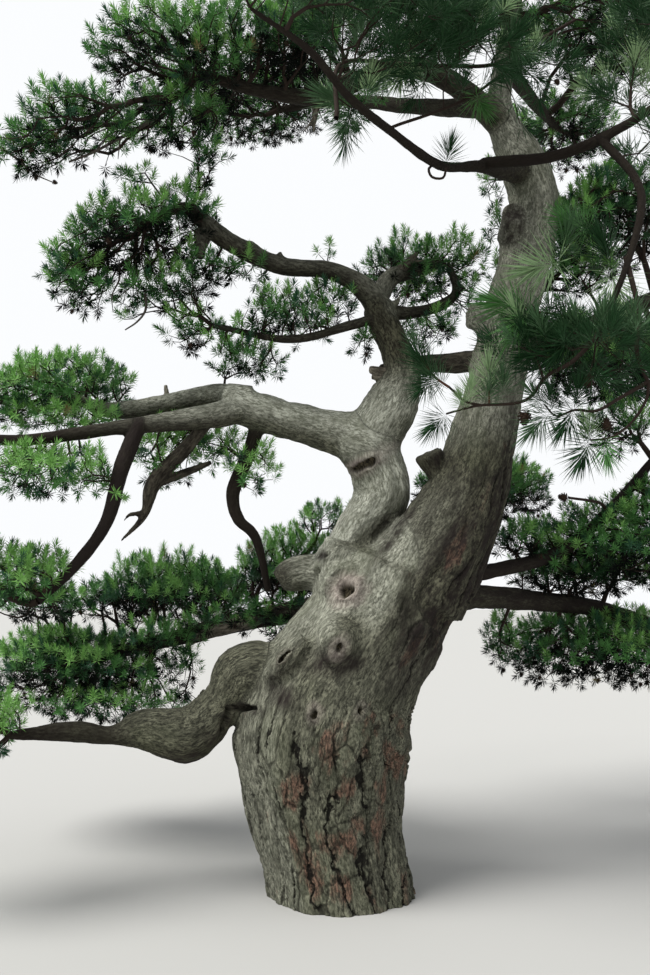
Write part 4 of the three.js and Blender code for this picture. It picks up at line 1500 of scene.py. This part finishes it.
def cone_shape(rings=6, sides=8, scales=42):
    """An open cone one long that points along +Z: a core, with scales in spirals round it."""
    places, faces = [(0, 0, 0)], []
    for ring in range(rings):
        share = (ring + 1) / (rings + 1)
        girth = cone_core_girth(share)
        for side in range(sides):
            turn = 2 * math.pi * side / sides
            places.append((girth * math.cos(turn), girth * math.sin(turn), share))
    top = len(places)
    places.append((0, 0, 1))
    last = 1 + (rings - 1) * sides
    for side in range(sides):
        other = (side + 1) % sides
        faces.append((0, 1 + other, 1 + side))
        faces.append((top, last + side, last + other))
        for ring in range(rings - 1):
            low, high = 1 + ring * sides, 1 + (ring + 1) * sides
            faces += [(low + side, low + other, high + other), (low + side, high + other, high + side)]
    up = np.array((0, 0, 1))
    # Each scale is a blade that leans out and up, with a keel under its outer end
    scale_faces = np.array([(0, 1, 2), (0, 2, 3), (3, 2, 4), (0, 3, 4), (1, 4, 2), (0, 4, 1)])
    for k in range(scales):
        share = (k + 0.5) / scales
        girth = cone_core_girth(share)
        turn = k * GOLDEN_TURN
        out = np.array((math.cos(turn), math.sin(turn), 0))
        aside = np.array((-out[1], out[0], 0)) * 0.13
        inner = out * girth * 0.7 + up * (share - 0.06)
        outer = out * (girth + 0.15) + up * (share + 0.02)
        keel = outer - up * 0.075 - out * 0.03
        faces += list(scale_faces + len(places))
        places += [inner - aside * 0.6, inner + aside * 0.6, outer + aside, outer - aside, keel]
    return np.array(places, float), np.array(faces)


# Lengths of the cones dealt out among the masses, in metres
CONE_SIZES = 0.026, 0.038
TWIG_LOOKS = ((OLD_WOOD, TWIG, "bark"), (NEW_WOOD, NEW_TWIG, "bark"), (DEAD, DEAD_TWIG, "dead_wood"))
for look, shade, slot in TWIG_LOOKS:
    piece = deal_out("single_twigs_" + look, [shade], twig_bundle(look))
    shade_smooth(piece.data)
spray_at = np.array([place for place, _, _ in SPRAYS]) * MM
spray_way = unit([way for _, way, _ in SPRAYS])
spray_size = np.array([size for _, _, size in SPRAYS])
spray_shade = RNG.choice([LONG, LONG_DIM, GREEN, DEEP, LONG_DIM], len(SPRAYS))
sprays = tufts(spray_at, spray_way, spray_size, spray_shade, SPRAY_TUFTS)
deal_out("needles_near_sprays", NEEDLES, sprays[:2], sprays[2])
ends = np.vstack(cone_ends)
cone_at = np.vstack([ends[:, :3], np.array([place for place, _, _ in CONES]) * MM])
cone_way = np.vstack([ends[:, 3:] * 0.4 - (0, 0, 0.8), [way for _, way, _ in CONES]])
cone_size = np.concatenate([RNG.uniform(*CONE_SIZES, len(ends)), [size for _, _, size in CONES]])
cones = tufts(cone_at, cone_way, cone_size, np.zeros(len(cone_at)), [cone_shape()])
deal_out("cones", [CONE], cones[:2])

# Floor, light and camera. The backdrop is seen brighter than it lights the tree
FLOOR_SIZE = 160
FLOOR_GREY = (0.45, 0.45, 0.44, 1)
BACKDROP = 1.0
SKYLIGHT = 0.72
SKY_COLOUR = (0.97, 0.985, 1.0, 1)
SUN_COLOUR = (1.0, 0.98, 0.94)
SUN_STRENGTH = 4.0
SUN_WIDTH = 35
SUN_FROM = (-0.6, -0.38, 1.0)
CAMERA_PLACE = (-0.0925, -5.7, 1.741)
CAMERA_TILT = 6.17
LENS = 35
SENSOR = 36
FAR_CLIP = 400
bpy.ops.mesh.primitive_plane_add(size=FLOOR_SIZE, location=(0, 0, 0))
floor = bpy.context.object
floor.name = "floor"
floor.data.materials.append(plain("floor_paint", FLOOR_GREY, 0.9, 0.1))

world = bpy.data.worlds.new("studio")
world.use_nodes = True
background = world.node_tree.nodes["Background"]
background.inputs["Color"].default_value = SKY_COLOUR
seen = put(world.node_tree, "ShaderNodeLightPath").outputs["Is Camera Ray"]
strength = maths(world.node_tree, "MULTIPLY_ADD", seen, BACKDROP - SKYLIGHT, SKYLIGHT)
world.node_tree.links.new(strength, background.inputs["Strength"])
bpy.context.scene.world = world

bpy.ops.object.light_add(type="SUN", location=(-4, -5, 9))
key = bpy.context.object
key.name = "key"
key.data.energy = SUN_STRENGTH
key.data.angle = math.radians(SUN_WIDTH)
key.data.color = SUN_COLOUR
key.rotation_euler = Vector(SUN_FROM).to_track_quat("Z", "Y").to_euler()

bpy.ops.object.camera_add(location=CAMERA_PLACE, rotation=(math.radians(90 + CAMERA_TILT), 0, 0))
camera = bpy.context.object
camera.data.lens = LENS
camera.data.sensor_width = SENSOR
camera.data.clip_end = FAR_CLIP
bpy.context.scene.camera = camera
bpy.context.scene.view_settings.view_transform = "Standard"
